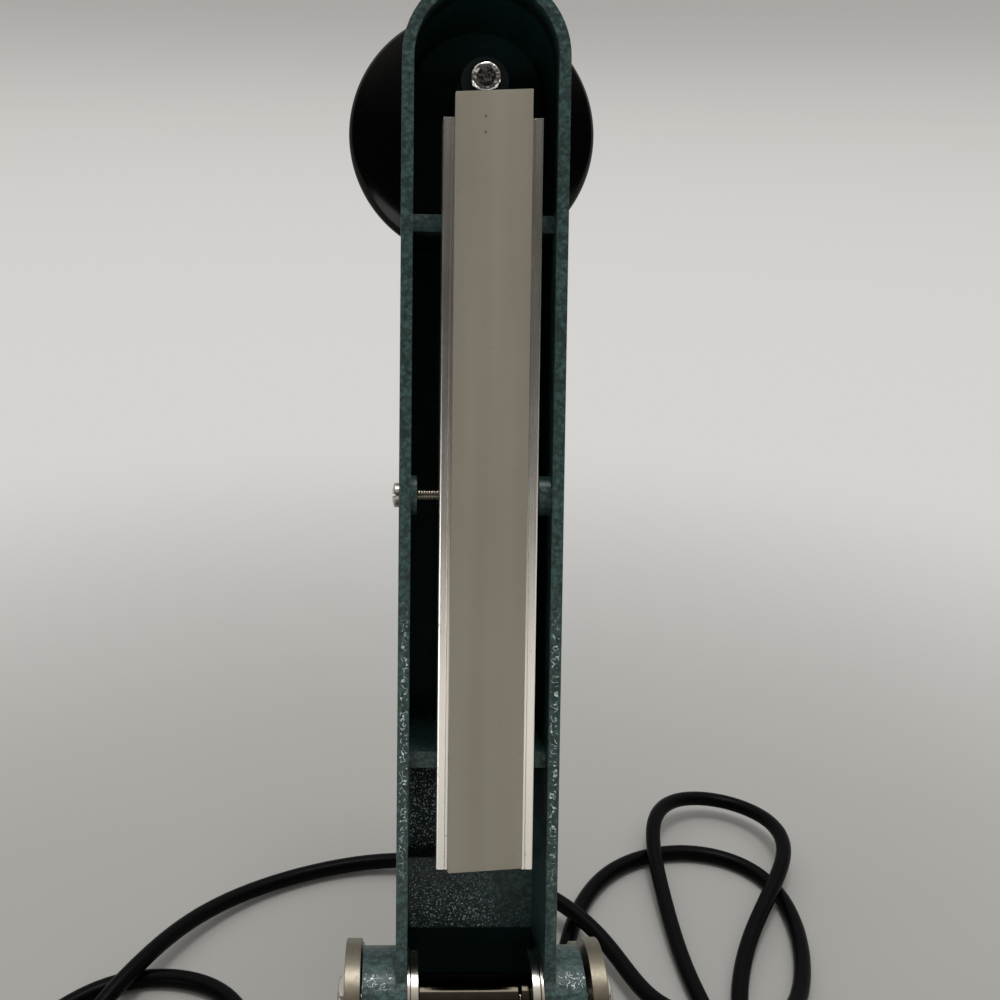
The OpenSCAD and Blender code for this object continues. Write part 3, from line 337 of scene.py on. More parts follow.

# Towards the hinge, bright specks are painted into the colour as painted glints: flecks on the pad, short bright
# worms on the rim and most of all streaks along the front of the two bosses.
boss_front = (0.0, -0.0056, 0.0139)
thick = 0.25 + 0.75 * fall(w, up_arm + 0.35 * sideways, 0.018, 0.031)
thick = thick * (1.0 - 0.8 * ease(w, sideways, 0.002, 0.011)) * (1.0 - over_pad) * 0.85 + 0.8 * over_pad
fleck = ease(w, noise(w, pushed, 2100.0, 0.0), 0.64, 0.69) * on_floor * thick
worm = fall(w, w.maths("ABSOLUTE", noise(w, pushed, 640.0, 1.0) - 0.5), 0.012, 0.028)
worm = worm * ease(w, noise(w, spot, 800.0, 0.0), 0.4, 0.52)
on_rim = ease(w, off_middle, 0.0194, 0.0199) * fall(w, off_middle, 0.0214, 0.0219)
on_rim = on_rim * fall(w, inwards, -0.0092, -0.0082)
glint_band = ease(w, up_arm, 0.028, 0.065) * fall(w, up_arm, 0.096, 0.125)
to_line = w.vector("DISTANCE", w.vector("MULTIPLY", from_hinge, (0.0, 1.0, 1.0)), boss_front, out="Value")
boss_glint = worm * fall(w, to_line, 0.0012, 0.0028) * ease(w, w.maths("ABSOLUTE", sideways), 0.0226, 0.0234)
bright = w.maths("MAXIMUM", w.maths("MAXIMUM", fleck, worm * on_rim * glint_band), boss_glint)
# Painted highlights: where the glint masks fall, the enamel's colour turns near white.
shade = tint(w, bright, shade, srgb(226, 244, 248))
enamel = w.node(
    "ShaderNodeBump", {}, {"Height": dimple * 0.7 + vein * 0.5, "Distance": 0.00022, "Strength": 1.0}, out="Normal"
)
glossy = w.node(
    "ShaderNodeBsdfPrincipled",
    {},
    {
        "Base Color": shade,
        "Roughness": 0.4 - 0.12 * bright + 0.1 * vein,
        "Specular IOR Level": 0.4,
        "Coat Weight": 0.08,
        "Coat Roughness": 0.12,
        "Normal": enamel,
    },
    out="BSDF",
)
dull = {"Base Color": shade, "Roughness": 0.7, "Specular IOR Level": 0.1}
matte = w.node("ShaderNodeBsdfPrincipled", {}, dull, out="BSDF")
coats = w.node("ShaderNodeMixShader", {}, {0: pocket_shade * 0.9, 1: glossy, 2: matte}, out="Shader")
w.node("ShaderNodeOutputMaterial", {}, {"Surface": coats}, out=None)
softened("base_housing", "base", hammered, 1.2)

# Underside. A folded steel plate closes the housing, on four turned rubber feet.
# One long cross-headed screw through each foot holds the plate and the foot together.
zinc, w = new_finish("zinc_plate")
spot = place(w)
stain = noise(w, spot, 60.0, 4.0)
fine = noise(w, spot, 900.0, 2.0)
surface(
    w,
    {
        "Base Color": tint(w, stain, srgb(150, 148, 142), srgb(192, 191, 186)),
        "Metallic": 1.0,
        "Roughness": 0.24 + 0.22 * stain + 0.08 * fine,
    },
    fine,
    0.00003,
)
moulded_rubber, w = new_finish("moulded_rubber")
spot = place(w)
bloom = noise(w, spot, 240.0, 4.0)
surface(
    w,
    {"Base Color": tint(w, bloom, srgb(26, 27, 27), srgb(48, 48, 47)), "Roughness": 0.62 + 0.2 * bloom},
    noise(w, spot, 1500.0, 2.0),
    0.00006,
)
dress(zinc, "bottom_plate")
softened("rubber_feet", "base", moulded_rubber, 1.0)


def grid_faces(rows, columns, wrap=True):
    """Quads between neighbouring rows and columns of a grid of points; wrap joins the last column to the first."""
    i, j = np.meshgrid(np.arange(rows - 1), np.arange(columns if wrap else columns - 1), indexing="ij")
    k = (j + 1) % columns
    quads = np.stack([i * columns + j, i * columns + k, (i + 1) * columns + k, (i + 1) * columns + j], -1)
    return quads.reshape(-1, 4)


def put(name, points, faces, body, material, stands_for=(), sharp=38):
    """A new piece from points in mm and faces as an array or as lists. Doubled points at poles and seams are merged,
    faces are turned outwards, and edges over sharp degrees stay sharp."""
    mesh = bpy.data.meshes.new(name)
    mesh.from_pydata((np.asarray(points) * MM).tolist(), [], faces if isinstance(faces, list) else faces.tolist())
    grown = bmesh.new()
    grown.from_mesh(mesh)
    bmesh.ops.remove_doubles(grown, verts=grown.verts, dist=1e-7)
    bmesh.ops.recalc_face_normals(grown, faces=grown.faces)
    grown.to_mesh(mesh)
    grown.free()
    mesh.materials.append(material)
    mesh.shade_smooth()
    mesh.set_sharp_from_angle(angle=math.radians(sharp))
    return settle(bpy.data.objects.new(name, mesh), body, list(stands_for))


def screw(shank_r, shank_l, head_r, head_h, cross):
    """A pan-head screw, head up, its seat at z = 0: each point of the outline r, z is carried round the axis.
    The top is a low dome, and sinks by half the head inside a slot, or inside both arms of a cross."""
    dome, brim = 1.45, 0.45
    crown = dome * np.linspace(1.0, 0.0, 13)
    shank = [[0, -shank_l], [shank_r * 0.8, -shank_l], [shank_r, -shank_l + shank_r * 0.3], [shank_r, 0]]
    flank = [[head_r, 0], [head_r, head_h * brim]]
    top = np.stack([head_r * np.sin(crown) / math.sin(dome), head_h * (1 - brim + brim * np.cos(crown))], 1)
    outline = np.concatenate([shank, flank, top])
    turn = np.linspace(0, 2 * np.pi, 72, endpoint=False)
    x, y = outline[:, :1] * np.cos(turn), outline[:, :1] * np.sin(turn)
    z = np.repeat(outline[:, 1:], len(turn), 1)
    half = 0.13 * head_r
    cut = np.abs(y) < half
    if cross:
        cut = (cut | (np.abs(x) < half)) & (np.hypot(x, y) < 0.72 * head_r)
    on_top = np.arange(len(outline)) >= len(shank) + len(flank)
    z = np.where(cut & on_top[:, None], head_h * brim, z)
    return np.stack([x, y, z], -1).reshape(-1, 3), grid_faces(len(outline), len(turn))


def repeated(points, faces, places):
    """The same shape at each of several places, as one piece."""
    places = np.asarray(places, float)
    many = (points[None] + places[:, None]).reshape(-1, 3)
    first = len(points) * np.arange(len(places))[:, None, None]
    return many, (faces[None] + first).reshape(-1, faces.shape[1])


foot_places = [(x, y, 5.0) for x in (-29, 29) for y in (-182, 98)]
points, faces = screw(2.0, 48.0, 3.75, 2.5, True)
points = points * (1, -1, -1)
put("foot_screws_slotted", *repeated(points, faces, foot_places), "base", zinc, ["foot_screws"])

# Electrics inside the housing. A laminated transformer in a pressed frame, a timer board on stand-offs,
# a micro switch on a bracket, a terminal block and the leads between them, all held by small screws.
laminations, w = new_finish("laminations")
sheets = w.maths("SINE", along(w, place(w), (0.0, 12000.0, 0.0)))
surface(
    w,
    {
        "Base Color": tint(w, sheets * 0.5 + 0.5, srgb(70, 66, 62), srgb(120, 116, 110)),
        "Metallic": 0.8,
        "Roughness": 0.45 + 0.15 * sheets,
    },
    sheets,
    0.00004,
)
copper, w = new_finish("enamelled_copper")
winds = w.maths("SINE", along(w, place(w), (0.0, 0.0, 9000.0)))
surface(
    w,
    {
        "Base Color": tint(w, winds * 0.5 + 0.5, srgb(112, 58, 32), srgb(186, 108, 66)),
        "Metallic": 0.6,
        "Roughness": 0.35,
    },
    winds,
    0.0001,
)
board_lacquer, w = new_finish("board_lacquer")
tracks = ease(w, noise(w, place(w), 260.0, 0.0), 0.5, 0.53)
surface(w, {"Base Color": tint(w, tracks, srgb(24, 82, 50), srgb(44, 112, 66)), "Roughness": 0.35}, tracks, 0.00003)
nylon, w = new_finish("natural_nylon")
haze = noise(w, place(w), 180.0, 3.0)
surface(w, {"Base Color": tint(w, haze, srgb(196, 190, 176), srgb(216, 211, 198)), "Roughness": 0.45 + 0.1 * haze})
moulded_black, w = new_finish("moulded_black")
spot = place(w)
haze = noise(w, spot, 350.0, 3.0)
surface(
    w,
    {"Base Color": tint(w, haze, srgb(20, 20, 20), srgb(38, 38, 38)), "Roughness": 0.42 + 0.16 * haze},
    noise(w, spot, 2200.0, 1.0),
    0.00004,
)
dress(laminations, "transformer_core")
dress(copper, "transformer_coil", "lead_wires")
dress(board_lacquer, "timer_board")
dress(nylon, "board_standoffs", "mains_terminal")
dress(moulded_black, "board_relay", "micro_switch", "lamp_holder", "lift_plunger")
dress(zinc, "transformer_frame", "transformer_screws", "board_capacitors", "switch_bracket", "switch_screws")
dress(zinc, "timer_pot", "timer_shaft", "yoke_nuts", "bed_screws")

# Front panel. A round aluminium dial under the timer's nut, with engraved and inked marks, a fluted black
# knob pushed onto the shaft, and the red lens of the pilot lamp, pressed into its hole.
dial_x, dial_y, dial_z = -14.0, -194.8, 34.0
spun_aluminium, w = new_finish("spun_aluminium")
from_shaft = w.vector("SUBTRACT", place(w), (dial_x * MM, 0.0, dial_z * MM))
reach = w.vector("LENGTH", w.vector("MULTIPLY", from_shaft, (1.0, 0.0, 1.0)), out="Value")
rings = noise(w, w.node("ShaderNodeCombineXYZ", {}, {"X": reach}, out="Vector"), 4000.0, 2.0)
surface(
    w,
    {
        "Base Color": tint(w, rings, srgb(176, 176, 174), srgb(214, 214, 211)),
        "Metallic": 1.0,
        "Roughness": 0.28 + 0.18 * rings,
    },
    rings,
    0.00002,
)
gloss_black, w = new_finish("polished_phenolic")
spot = place(w)
smear = noise(w, spot, 34.0, 3.0)
dust = ease(w, noise(w, spot, 1700.0, 1.0), 0.7, 0.78)
surface(
    w,
    {
        "Base Color": tint(w, dust * 0.06, srgb(4, 4, 4), srgb(120, 118, 112)),
        "Roughness": 0.08 + 0.1 * smear + 0.2 * dust,
        "Specular IOR Level": 0.12,
    },
    noise(w, spot, 90.0, 2.0),
    0.00003,
)
red_lens, w = new_finish("red_lens")
spot = place(w)
facet = w.maths("SINE", along(w, spot, (2600.0, 0.0, 0.0))) * w.maths("SINE", along(w, spot, (0.0, 0.0, 2600.0)))
surface(
    w,
    {
        "Base Color": tint(w, facet * 0.5 + 0.5, srgb(150, 16, 12), srgb(214, 44, 30)),
        "Roughness": 0.14,
        "Coat Weight": 0.6,
    },
    facet,
    0.00008,
)
dial_ink, w = new_finish("dial_ink")
worn = noise(w, place(w), 700.0, 3.0)
surface(w, {"Base Color": tint(w, worn, srgb(14, 14, 15), srgb(34, 34, 34)), "Roughness": 0.5 + 0.1 * worn})
marker_white, w = new_finish("marker_white")
worn = noise(w, place(w), 900.0, 3.0)
surface(w, {"Base Color": tint(w, worn, srgb(206, 204, 196), srgb(232, 231, 226)), "Roughness": 0.5 + 0.1 * worn})
dress(spun_aluminium, "dial_plate")
dress(red_lens, "pilot_lens", "switch_button")


def block(x, y, z):
    """The eight corners of a box between two values each of x, y and z, and its six faces."""
    around = ((x[0], z[0]), (x[1], z[0]), (x[1], z[1]), (x[0], z[1]))
    corners = np.array([(a, b, c) for b in y for a, c in around])
    return corners, np.array([[0, 1, 2, 3], [7, 6, 5, 4], [0, 4, 5, 1], [1, 5, 6, 2], [2, 6, 7, 3], [3, 7, 4, 0]])


dial_turn = np.radians(np.linspace(220, -60, 11))
tick, tick_faces = block((12.7, 14.0), (0.0, -0.12), (-0.2, 0.2))
c, s = np.cos(dial_turn)[:, None], np.sin(dial_turn)[:, None]
marks = np.stack(
    [
        dial_x + tick[:, 0] * c - tick[:, 2] * s,
        dial_y + tick[:, 1] + 0 * c,
        dial_z + tick[:, 0] * s + tick[:, 2] * c,
    ],
    -1,
)
mark_faces = (tick_faces[None] + len(tick) * np.arange(len(dial_turn))[:, None, None]).reshape(-1, 4)
put("dial_ticks", marks.reshape(-1, 3), mark_faces, "base", dial_ink, sharp=20)
numeral_r, numeral_size, numeral_t = 14.9, 1.9, 0.05
numeral_points, numeral_faces = np.empty((0, 3)), []
for value, angle in list(enumerate(dial_turn))[::2]:
    letter = bpy.data.curves.new("numeral", "FONT")
    letter.body = str(value)
    letter.size = numeral_size
    letter.extrude = numeral_t
    letter.align_x = "CENTER"
    letter.align_y = "CENTER"
    shape = bpy.data.objects.new("numeral", letter)
    scene.collection.objects.link(shape)
    flat_mesh = shape.to_mesh()
    drawn = np.empty(len(flat_mesh.vertices) * 3)
    flat_mesh.vertices.foreach_get("co", drawn)
    x, y, z = drawn.reshape(-1, 3).T
    x = dial_x + numeral_r * np.cos(angle) + x
    y, z = dial_y - numeral_t - z, dial_z + numeral_r * np.sin(angle) + y
    numeral_faces += [[len(numeral_points) + v for v in face.vertices] for face in flat_mesh.polygons]
    numeral_points = np.concatenate([numeral_points, np.stack([x, y, z], 1)])
    shape.to_mesh_clear()
    bpy.data.objects.remove(shape)
put("dial_numerals", numeral_points, numeral_faces, "base", dial_ink, sharp=0)


def lathe(outline, turns=96):
    """A shape turned about z: each point r, z of the outline is carried once round the axis."""
    outline = np.asarray(outline, float)
    turn = np.linspace(0, 2 * np.pi, turns, endpoint=False)
    x, y = outline[:, :1] * np.cos(turn), outline[:, :1] * np.sin(turn)
    points = np.stack([x, y, np.repeat(outline[:, 1:], turns, 1)], -1)
    return points.reshape(-1, 3), grid_faces(len(outline), turns)


def faced(points, axis, at):
    """Turns a shape drawn along +z to face +x, -x or -y, and moves it to a place."""
    x, y, z = np.asarray(points).T
    ways = {"+x": (z, y, -x), "-x": (-z, y, x), "-y": (x, -z, y)}
    return np.stack(ways[axis], 1) + np.asarray(at)


knob_skirt = [(0, 0), (11.4, 0), (12, 0.5), (12, 3.4), (11.5, 4), (10.3, 4.3)]
knob_grip = [(10.0, 5), (9.6, 13.6), (8.8, 14.6), (0, 15)]
points, faces = lathe(knob_skirt + knob_grip, 144)
angle = np.arctan2(points[:, 1], points[:, 0])
fluted = (points[:, 2] > 4.2) & (points[:, 2] < 14.0)
flutes, flute_depth = 18, 0.035
hollow = 1 - flute_depth * (1 - np.abs(np.cos(flutes / 2 * angle))) ** 0.5
points[:, :2] *= np.where(fluted, hollow, 1.0)[:, None]
put("timer_knob_fluted", faced(points, "-y", (dial_x, -199.2, dial_z)), faces, "timer", gloss_black, ["timer_knob"])
pointer, pointer_faces = block((-0.45, 0.45), (-0.12, 0.1), (2.0, 9.2))
put("timer_pointer", pointer + (dial_x, -214.05, dial_z), pointer_faces, "timer", marker_white, sharp=20)


# Nuts and bolts with six flats, their corners turned down to a cone at each open end.
# They are cold-formed steel, plated bright.
def hexed(across_flats, height, bore, both_ends=True):
    """A nut along +z: at each height the radius is the smaller of a hexagon's and of a rounded cone, which grows
    with the square root of the distance from the end face."""
    sides = 96
    turn = np.linspace(0, 2 * np.pi, sides, endpoint=False)
    wedge = (turn + np.pi / 6) % (np.pi / 3) - np.pi / 6
    flats = across_flats / 2 / np.cos(wedge)
    deep = min(0.2 * across_flats, 0.45 * height)
    edge = deep * np.linspace(0, 1, 8) ** 2
    z = np.concatenate([[0], edge, height - edge[::-1], [height]])
    rise = np.minimum(z if both_ends else deep, height - z)
    cone = across_flats * (0.42 + 0.17 * np.sqrt(np.minimum(rise / deep, 1)))
    wall = np.minimum(flats[None], cone[:, None])
    wall[0] = bore
    wall[-1] = bore
    radius = np.concatenate([wall, np.full((2, sides), bore)])
    level = np.concatenate([z, [height, 0]])[:, None] + 0 * turn
    points = np.stack([radius * np.cos(turn), radius * np.sin(turn), level], -1).reshape(-1, 3)
    return points, grid_faces(len(radius), sides)


def lathe_lines(w, point):
    """Fine lines round a piece that lies across the sealer: noise drawn out in y and z."""
    return noise(w, w.vector("MULTIPLY", point, (1.0, 0.06, 0.06)), 2600.0, 2.0)


polished, w = new_finish("polished_steel")
spot = place(w)
turned_lines = lathe_lines(w, spot)
grime = noise(w, spot, 110.0, 4.0)
surface(
    w,
    {
        "Base Color": tint(w, grime, srgb(150, 144, 132), srgb(206, 203, 196)),
        "Metallic": 1.0,
        "Roughness": 0.1 + 0.14 * grime + 0.06 * turned_lines,
    },
    turned_lines,
    0.00001,
)
hardened, w = new_finish("hardened_steel")
spot = place(w)
turned_lines = lathe_lines(w, spot)
oil = noise(w, spot, 150.0, 4.0)
surface(
    w,
    {
        "Base Color": tint(w, oil, srgb(34, 31, 26), srgb(58, 54, 46)),
        "Metallic": 1.0,
        "Roughness": 0.05 + 0.06 * oil + 0.04 * turned_lines,
    },
    turned_lines,
    0.00001,
)
blackened, w = new_finish("blackened_steel")
spot = place(w)
scale = noise(w, spot, 1500.0, 3.0)
surface(
    w,
    {
        "Base Color": tint(w, ease(w, scale, 0.4, 0.62), srgb(30, 29, 28), srgb(104, 101, 96)),
        "Metallic": 1.0,
        "Roughness": 0.34 + 0.2 * scale,
    },
    scale,
    0.00012,
)
chrome, w = new_finish("bright_chrome")
ripple = noise(w, place(w), 620.0, 1.0)
surface(
    w,
    {
        "Base Color": tint(w, ripple, srgb(214, 214, 214), srgb(240, 240, 239)),
        "Metallic": 1.0,
        "Roughness": 0.05 + 0.06 * ripple,
    },
    ripple,
    0.0003,
)
points, faces = hexed(12.0, 2.4, 4.05)
put("pot_nut_chamfered", faced(points, "-y", (dial_x, dial_y, dial_z)), faces, "base", polished, ["pot_nut"])

# Sealing bed. A bare aluminium bar, screwed down from inside, with a woven glass insulating strip, the flat
# heating ribbon and a sheet of coated glass cloth over them. Two clamp strips hold the cloth at its sides.
drawn_aluminium, w = new_finish("drawn_aluminium")
spot = place(w)
streak = noise(w, w.vector("MULTIPLY", spot, (1.0, 0.012, 1.0)), 1800.0, 3.0)
smear = noise(w, spot, 45.0, 3.0)
surface(
    w,
    {
        "Base Color": tint(w, smear * 0.5 + streak * 0.5, srgb(172, 171, 168), srgb(212, 211, 207)),
        "Metallic": 1.0,
        "Roughness": 0.26 + 0.2 * streak + 0.08 * smear,
    },
    streak,
    0.00002,
)
glass_cloth, w = new_finish("coated_glass_cloth")
spot = place(w)
warps = w.maths("SINE", along(w, spot, (7400.0, 0.0, 0.0)))
wefts = w.maths("SINE", along(w, spot, (0.0, 7400.0, 0.0)))
weave = warps * wefts * 0.5 + 0.5
ridge = fall(w, w.maths("ABSOLUTE", along(w, spot, to_the_right)), 0.0009, 0.0016)
brown = tint(w, weave, srgb(128, 98, 62), srgb(168, 136, 92))
brown = tint(w, ridge * 0.5, brown, srgb(84, 60, 38))
surface(w, {"Base Color": brown, "Roughness": 0.36 + 0.12 * weave}, weave * 0.3 + ridge, 0.00012)
nichrome, w = new_finish("nichrome_ribbon")
rolled = noise(w, place(w), 700.0, 3.0)
surface(
    w,
    {
        "Base Color": tint(w, rolled, srgb(110, 104, 96), srgb(160, 154, 144)),
        "Metallic": 1.0,
        "Roughness": 0.3 + 0.2 * rolled,
    },
)
brass, w = new_finish("plain_brass")
spot = place(w)
tarnish = noise(w, spot, 120.0, 4.0)
surface(
    w,
    {
        "Base Color": tint(w, tarnish, srgb(150, 116, 58), srgb(208, 174, 104)),
        "Metallic": 1.0,
        "Roughness": 0.24 + 0.24 * tarnish,
    },
    noise(w, spot, 1200.0, 2.0),
    0.00002,
)
softened("seal_bed", "base", drawn_aluminium, 0.4)
softened("cloth_clamps", "base", drawn_aluminium, 0.4)
dress(glass_cloth, "insulator_strip", "ptfe_cover")
dress(nichrome, "heating_element")
softened("element_terminals", "base", brass, 0.4)
bed_y, bed_l, base_top = -180.0, 214.0, 58.0
terminal_places = [(0, y, base_top + 6.8) for y in (bed_y - 3.5, bed_y + bed_l + 3.5)]
points, faces = repeated(*screw(1.5, 14.8, 2.75, 1.6, False), terminal_places)
put("terminal_screws_slotted", points, faces, "base", zinc, ["terminal_screws"])
clamp_y = bed_y + bed_l * (np.arange(4) + 0.5) / 4
points, faces = screw(1.5, 8.75, 1.9, 1.5, False)
for hand, way, clamp_x in (("left", "-x", -15.25), ("right", "+x", 15.25)):
    laid = faced(points, way, (0, 0, 0))
    clamp_places = [(clamp_x, y, base_top + 2.0) for y in clamp_y]
    put(f"clamp_screws_{hand}", *repeated(laid, faces, clamp_places), "base", zinc, ["clamp_screws"])

# Lift plunger. A black rod in a turned brass bush, which a wound steel spring pushes up against the arm's
# pad. Pressed down, its foot works the switch inside the housing.
dress(brass, "plunger_bush")
plunger_y, seat_z = 50.0, 60.0


def tube(path, radius, sides):
    """A round tube: circles square to the path's direction, whose side points along up cross direction."""
    heading = np.gradient(path, axis=0)
    heading /= np.linalg.norm(heading, axis=1)[:, None]
    side = np.cross((0.0, 0.0, 1.0), heading)
    side /= np.linalg.norm(side, axis=1)[:, None]
    top = np.cross(heading, side)
    turn = np.linspace(0, 2 * np.pi, sides, endpoint=False)[None, :, None]
    points = path[:, None] + radius * (np.cos(turn) * side[:, None] + np.sin(turn) * top[:, None])
    caps = np.stack([np.repeat(path[:1], sides, 0), np.repeat(path[-1:], sides, 0)])
    points = np.concatenate([caps[:1], points, caps[1:]])
    return points.reshape(-1, 3), grid_faces(len(points), sides)


spring_low, spring_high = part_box("lift_spring")
coil_r, wire_r, coil_turns = 5.1, 0.6, 7
closed_turns, closed_pitch = 0.8, 1.3
low, high = spring_low[2] / MM + wire_r, spring_high[2] / MM - wire_r
turns_done = np.linspace(0, coil_turns, coil_turns * 28 + 1)
closed = np.minimum(turns_done, closed_turns) + np.maximum(turns_done - coil_turns + closed_turns, 0)
climb = np.clip((turns_done - closed_turns) / (coil_turns - 2 * closed_turns), 0, 1)
lift = low + closed_pitch * closed + (high - low - 2 * closed_turns * closed_pitch) * climb
angle = 2 * np.pi * turns_done
coil = np.stack([coil_r * np.cos(angle), plunger_y + coil_r * np.sin(angle), lift], 1)
spring = put("lift_spring_wound", *tube(coil, wire_r, 10), "base", polished, ["lift_spring"])
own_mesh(spring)

# Hinge yoke. A thick steel channel with two round ears, nickel plated, dark-spotted towards the bottom, screwed to
# the housing with four screws. A long bolt and nut cross the ears, and a stop pin behind catches the arm.
worn_nickel, w = new_finish("worn_nickel")
spot = place(w)
patch = noise(w, spot, 75.0, 5.0, 0.6)
blotch = noise(w, spot, 520.0, 3.0, 0.6, 0.6)
lower = fall(w, along(w, spot, (0.0, 0.0, 1.0)), 0.088, 0.1)
# Dark brown spots, denser below the hinge's height.
dark_spots = ease(w, blotch, 0.5, 0.62) * (0.12 + 0.6 * lower) * ease(w, patch, 0.34, 0.56)
tone = tint(w, patch, srgb(98, 92, 79), srgb(138, 132, 118))
tone = tint(w, dark_spots, tone, srgb(60, 44, 32))
surface(
    w,
    {"Base Color": tone, "Metallic": 1.0 - 0.3 * dark_spots, "Roughness": 0.26 + 0.16 * patch + 0.16 * dark_spots},
    patch * 0.4 + blotch * 0.25,
    0.00012,
)
softened("hinge_yoke", "base", worn_nickel, 1.1)
dress(worn_nickel, "stop_pin")
hinge_y, hinge_z = 76.0, 84.3786
bar_x, ear_out = 1.4, 36.6
yoke_places = [(x - bar_x, hinge_y + y, base_top + 4.5) for x in (-27.225, 27.225) for y in (-11, 12)]
points, faces = repeated(*screw(2.0, 13.5, 3.6, 3.0, True), yoke_places)
put("yoke_screws_slotted", points, faces, "base", zinc, ["yoke_screws"])
head, head_faces = hexed(13.0, 2.2, 0.0, False)
shank, shank_faces = lathe([(0, 0), (4, 0), (4, 76.6), (3.4, 77.2), (0, 77.2)], 64)
left_ear, right_ear = (-ear_out - bar_x, hinge_y, hinge_z), (ear_out - bar_x, hinge_y, hinge_z)
bolt = np.concatenate([faced(head, "-x", left_ear), faced(shank, "+x", left_ear)])
bolt_faces = np.concatenate([head_faces, shank_faces + len(head)])
put("hinge_bolt_hexed", bolt, bolt_faces, "base", polished, ["hinge_bolt"])
nut, nut_faces = hexed(13.0, 3.2, 4.05)
put("hinge_nut_hexed", faced(nut, "+x", right_ear), nut_faces, "base", polished, ["hinge_nut"])

# Arm. One hollow iron casting, open underneath, with cross ribs, a pad over the plunger and two round bosses at
# the hinge. It has the housing's hammered enamel, with painted shade in its pockets and painted glints near the
# hinge.
softened("arm_casting", "arm", hammered, 0.5)

# Hinge bearings. Flanged steel bushes pressed into the bosses from inside, thin washers under the flanges,
# and a polished sleeve with a collar round the bolt between them.
for name, width in (("hinge_bushes", 0.25), ("hinge_washers", 0.15)):
    softened(name, "arm", polished, width)
for name, width in (("hinge_sleeve", 0.4), ("hinge_collar", 0.35)):
    softened(name, "arm", hardened, width)

# Push knob. A turned and polished black phenolic mushroom on a threaded stud, which passes through the arm's tip
# and is held underneath by a plated nut.
open_turn = math.radians(108)


def on_arm(points):
    """Points drawn on the closed arm, from the hinge: turned back with the open arm, y' = y cos a + z sin a and
    z' = z cos a - y sin a, and moved to the hinge and to the left, to bring the press bar over the bed."""
    x, y, z = np.asarray(points, float).T
    c, s = math.cos(open_turn), math.sin(open_turn)
    return np.stack([x - bar_x, y * c + z * s + hinge_y, z * c - y * s + hinge_z], 1)


def eased(points, steps):
    """A smooth curve near its control points: the uniform cubic B-spline, which starts and ends on the outer ones."""
    p = np.asarray(points, float)
    q = np.concatenate([[2 * p[0] - p[1]], p, [2 * p[-1] - p[-2]]])
    t = (np.arange(steps) / steps)[None, :, None]
    a, b, c, d = (q[i : len(p) - 1 + i, None] for i in range(4))
    line = (1 - t) ** 3 * a + (3 * t**3 - 6 * t**2 + 4) * b + (-3 * t**3 + 3 * t**2 + 3 * t + 1) * c + t**3 * d
    return np.concatenate([(line / 6).reshape(-1, p.shape[1]), p[-1:]])


knob_u, arm_back = 258.5, 28.0
neck = [(15, 0), (15, 2), (14.2, 4.2), (12, 7.5), (13, 9.5)]
underside = eased(neck + [(19, 11.2), (28, 12.2), (34, 13.1), (37.8, 14.6)], 6)
rim = eased([(37.8, 14.6), (38.9, 15.9), (39, 17.2), (38.6, 19.2), (37, 21)], 6)
crown = eased([(37, 21), (33.5, 23.4), (24, 27.4), (12, 29.6), (4, 30), (0, 30)], 8)
points, faces = lathe(np.concatenate([[(0, 0)], underside, rim[1:], crown[1:]]), 160)
put("press_knob_turned", on_arm(points + (0, -knob_u, arm_back)), faces, "arm", gloss_black, ["press_knob"], sharp=60)


def threaded(radius, pitch, length, depth, chamfer):
    """A screw thread along +z: the radius dips by depth in a V whose phase is z / pitch less one turn's share."""
    sides, rows_a_turn = 48, 8
    turn = np.linspace(0, 2 * np.pi, sides, endpoint=False)
    z = np.linspace(0, length, max(int(length / pitch * rows_a_turn), 8))[:, None]
    phase = (z / pitch - turn[None] / (2 * np.pi)) % 1
    size = radius - depth * np.abs(2 * phase - 1) ** 1.2
    size = np.minimum(size, radius - chamfer + np.minimum(z, length - z))
    points = np.stack([size * np.cos(turn), size * np.sin(turn), z + 0 * turn], -1)
    caps = points[[0, -1]] * (0, 0, 1)
    return np.concatenate([caps[:1], points, caps[1:]]).reshape(-1, 3), grid_faces(len(z) + 2, sides)


stud_low, stud_high, nut_low = -9.0, arm_back + 21.5, -8.0
points, faces = threaded(2.5, 0.8, stud_high - stud_low, 0.42, 0.5)
put("knob_stud_threaded", on_arm(points + (0, -knob_u, stud_low)), faces, "arm", blackened, ["knob_stud"])
points, faces = hexed(8.0, 4.0, 2.55)
put("knob_nut_chamfered", on_arm(points + (0, -knob_u, nut_low)), faces, "arm", chrome, ["knob_nut"])

# Press bar. An extruded aluminium channel, left bare, whose flat face carries the strip in a shallow groove
# between two flanges. It rocks on a screw that crosses the arm and the steel saddle in the channel.
bar_u, bar_l, rim_z = 46.2, 199.0, -10.0
half, face, groove = 13.05, -6.0, -5.4
one_side = np.array(
    [
        (0, groove), (10.2, groove), (10.2, face), (10.75, face), (10.9, face + 0.22), (11.05, face), (12.1, face),
        (12.65, face), (12.95, face + 0.12), (half, face + 0.4), (half, 2.7), (12.9, 3), (11.2, 3),
        (11.05, 2.7), (11.05, -3.1), (10.75, -3.4), (0, -3.4),
    ]
)
section = np.concatenate([one_side, one_side[-2::-1] * (-1, 1)])[:-1]
broken_edge, end_inset = 0.1, 0.08
steps = np.array([0.0, broken_edge, bar_l - broken_edge, bar_l])
inset = np.array([end_inset, 0.0, 0.0, end_inset])
ring_x = section[None, :, 0] * (1 - inset[:, None] / half)
ring_z = section[None, :, 1] + 0 * steps[:, None]
points = np.stack([bar_x + ring_x, -(bar_u + steps[:, None]) + 0 * ring_x, rim_z + ring_z], -1)
count = len(section)
first_cap, last_cap = list(range(count)), list(range(3 * count, 4 * count))
face_lists = grid_faces(len(steps), count).tolist() + [first_cap, last_cap]
extruded, w = new_finish("extruded_aluminium")
spot = place(w)
lengthways = along(w, spot, up_the_arm)
depthways = along(w, spot, into_the_arm)
crossways = along(w, spot, to_the_right)
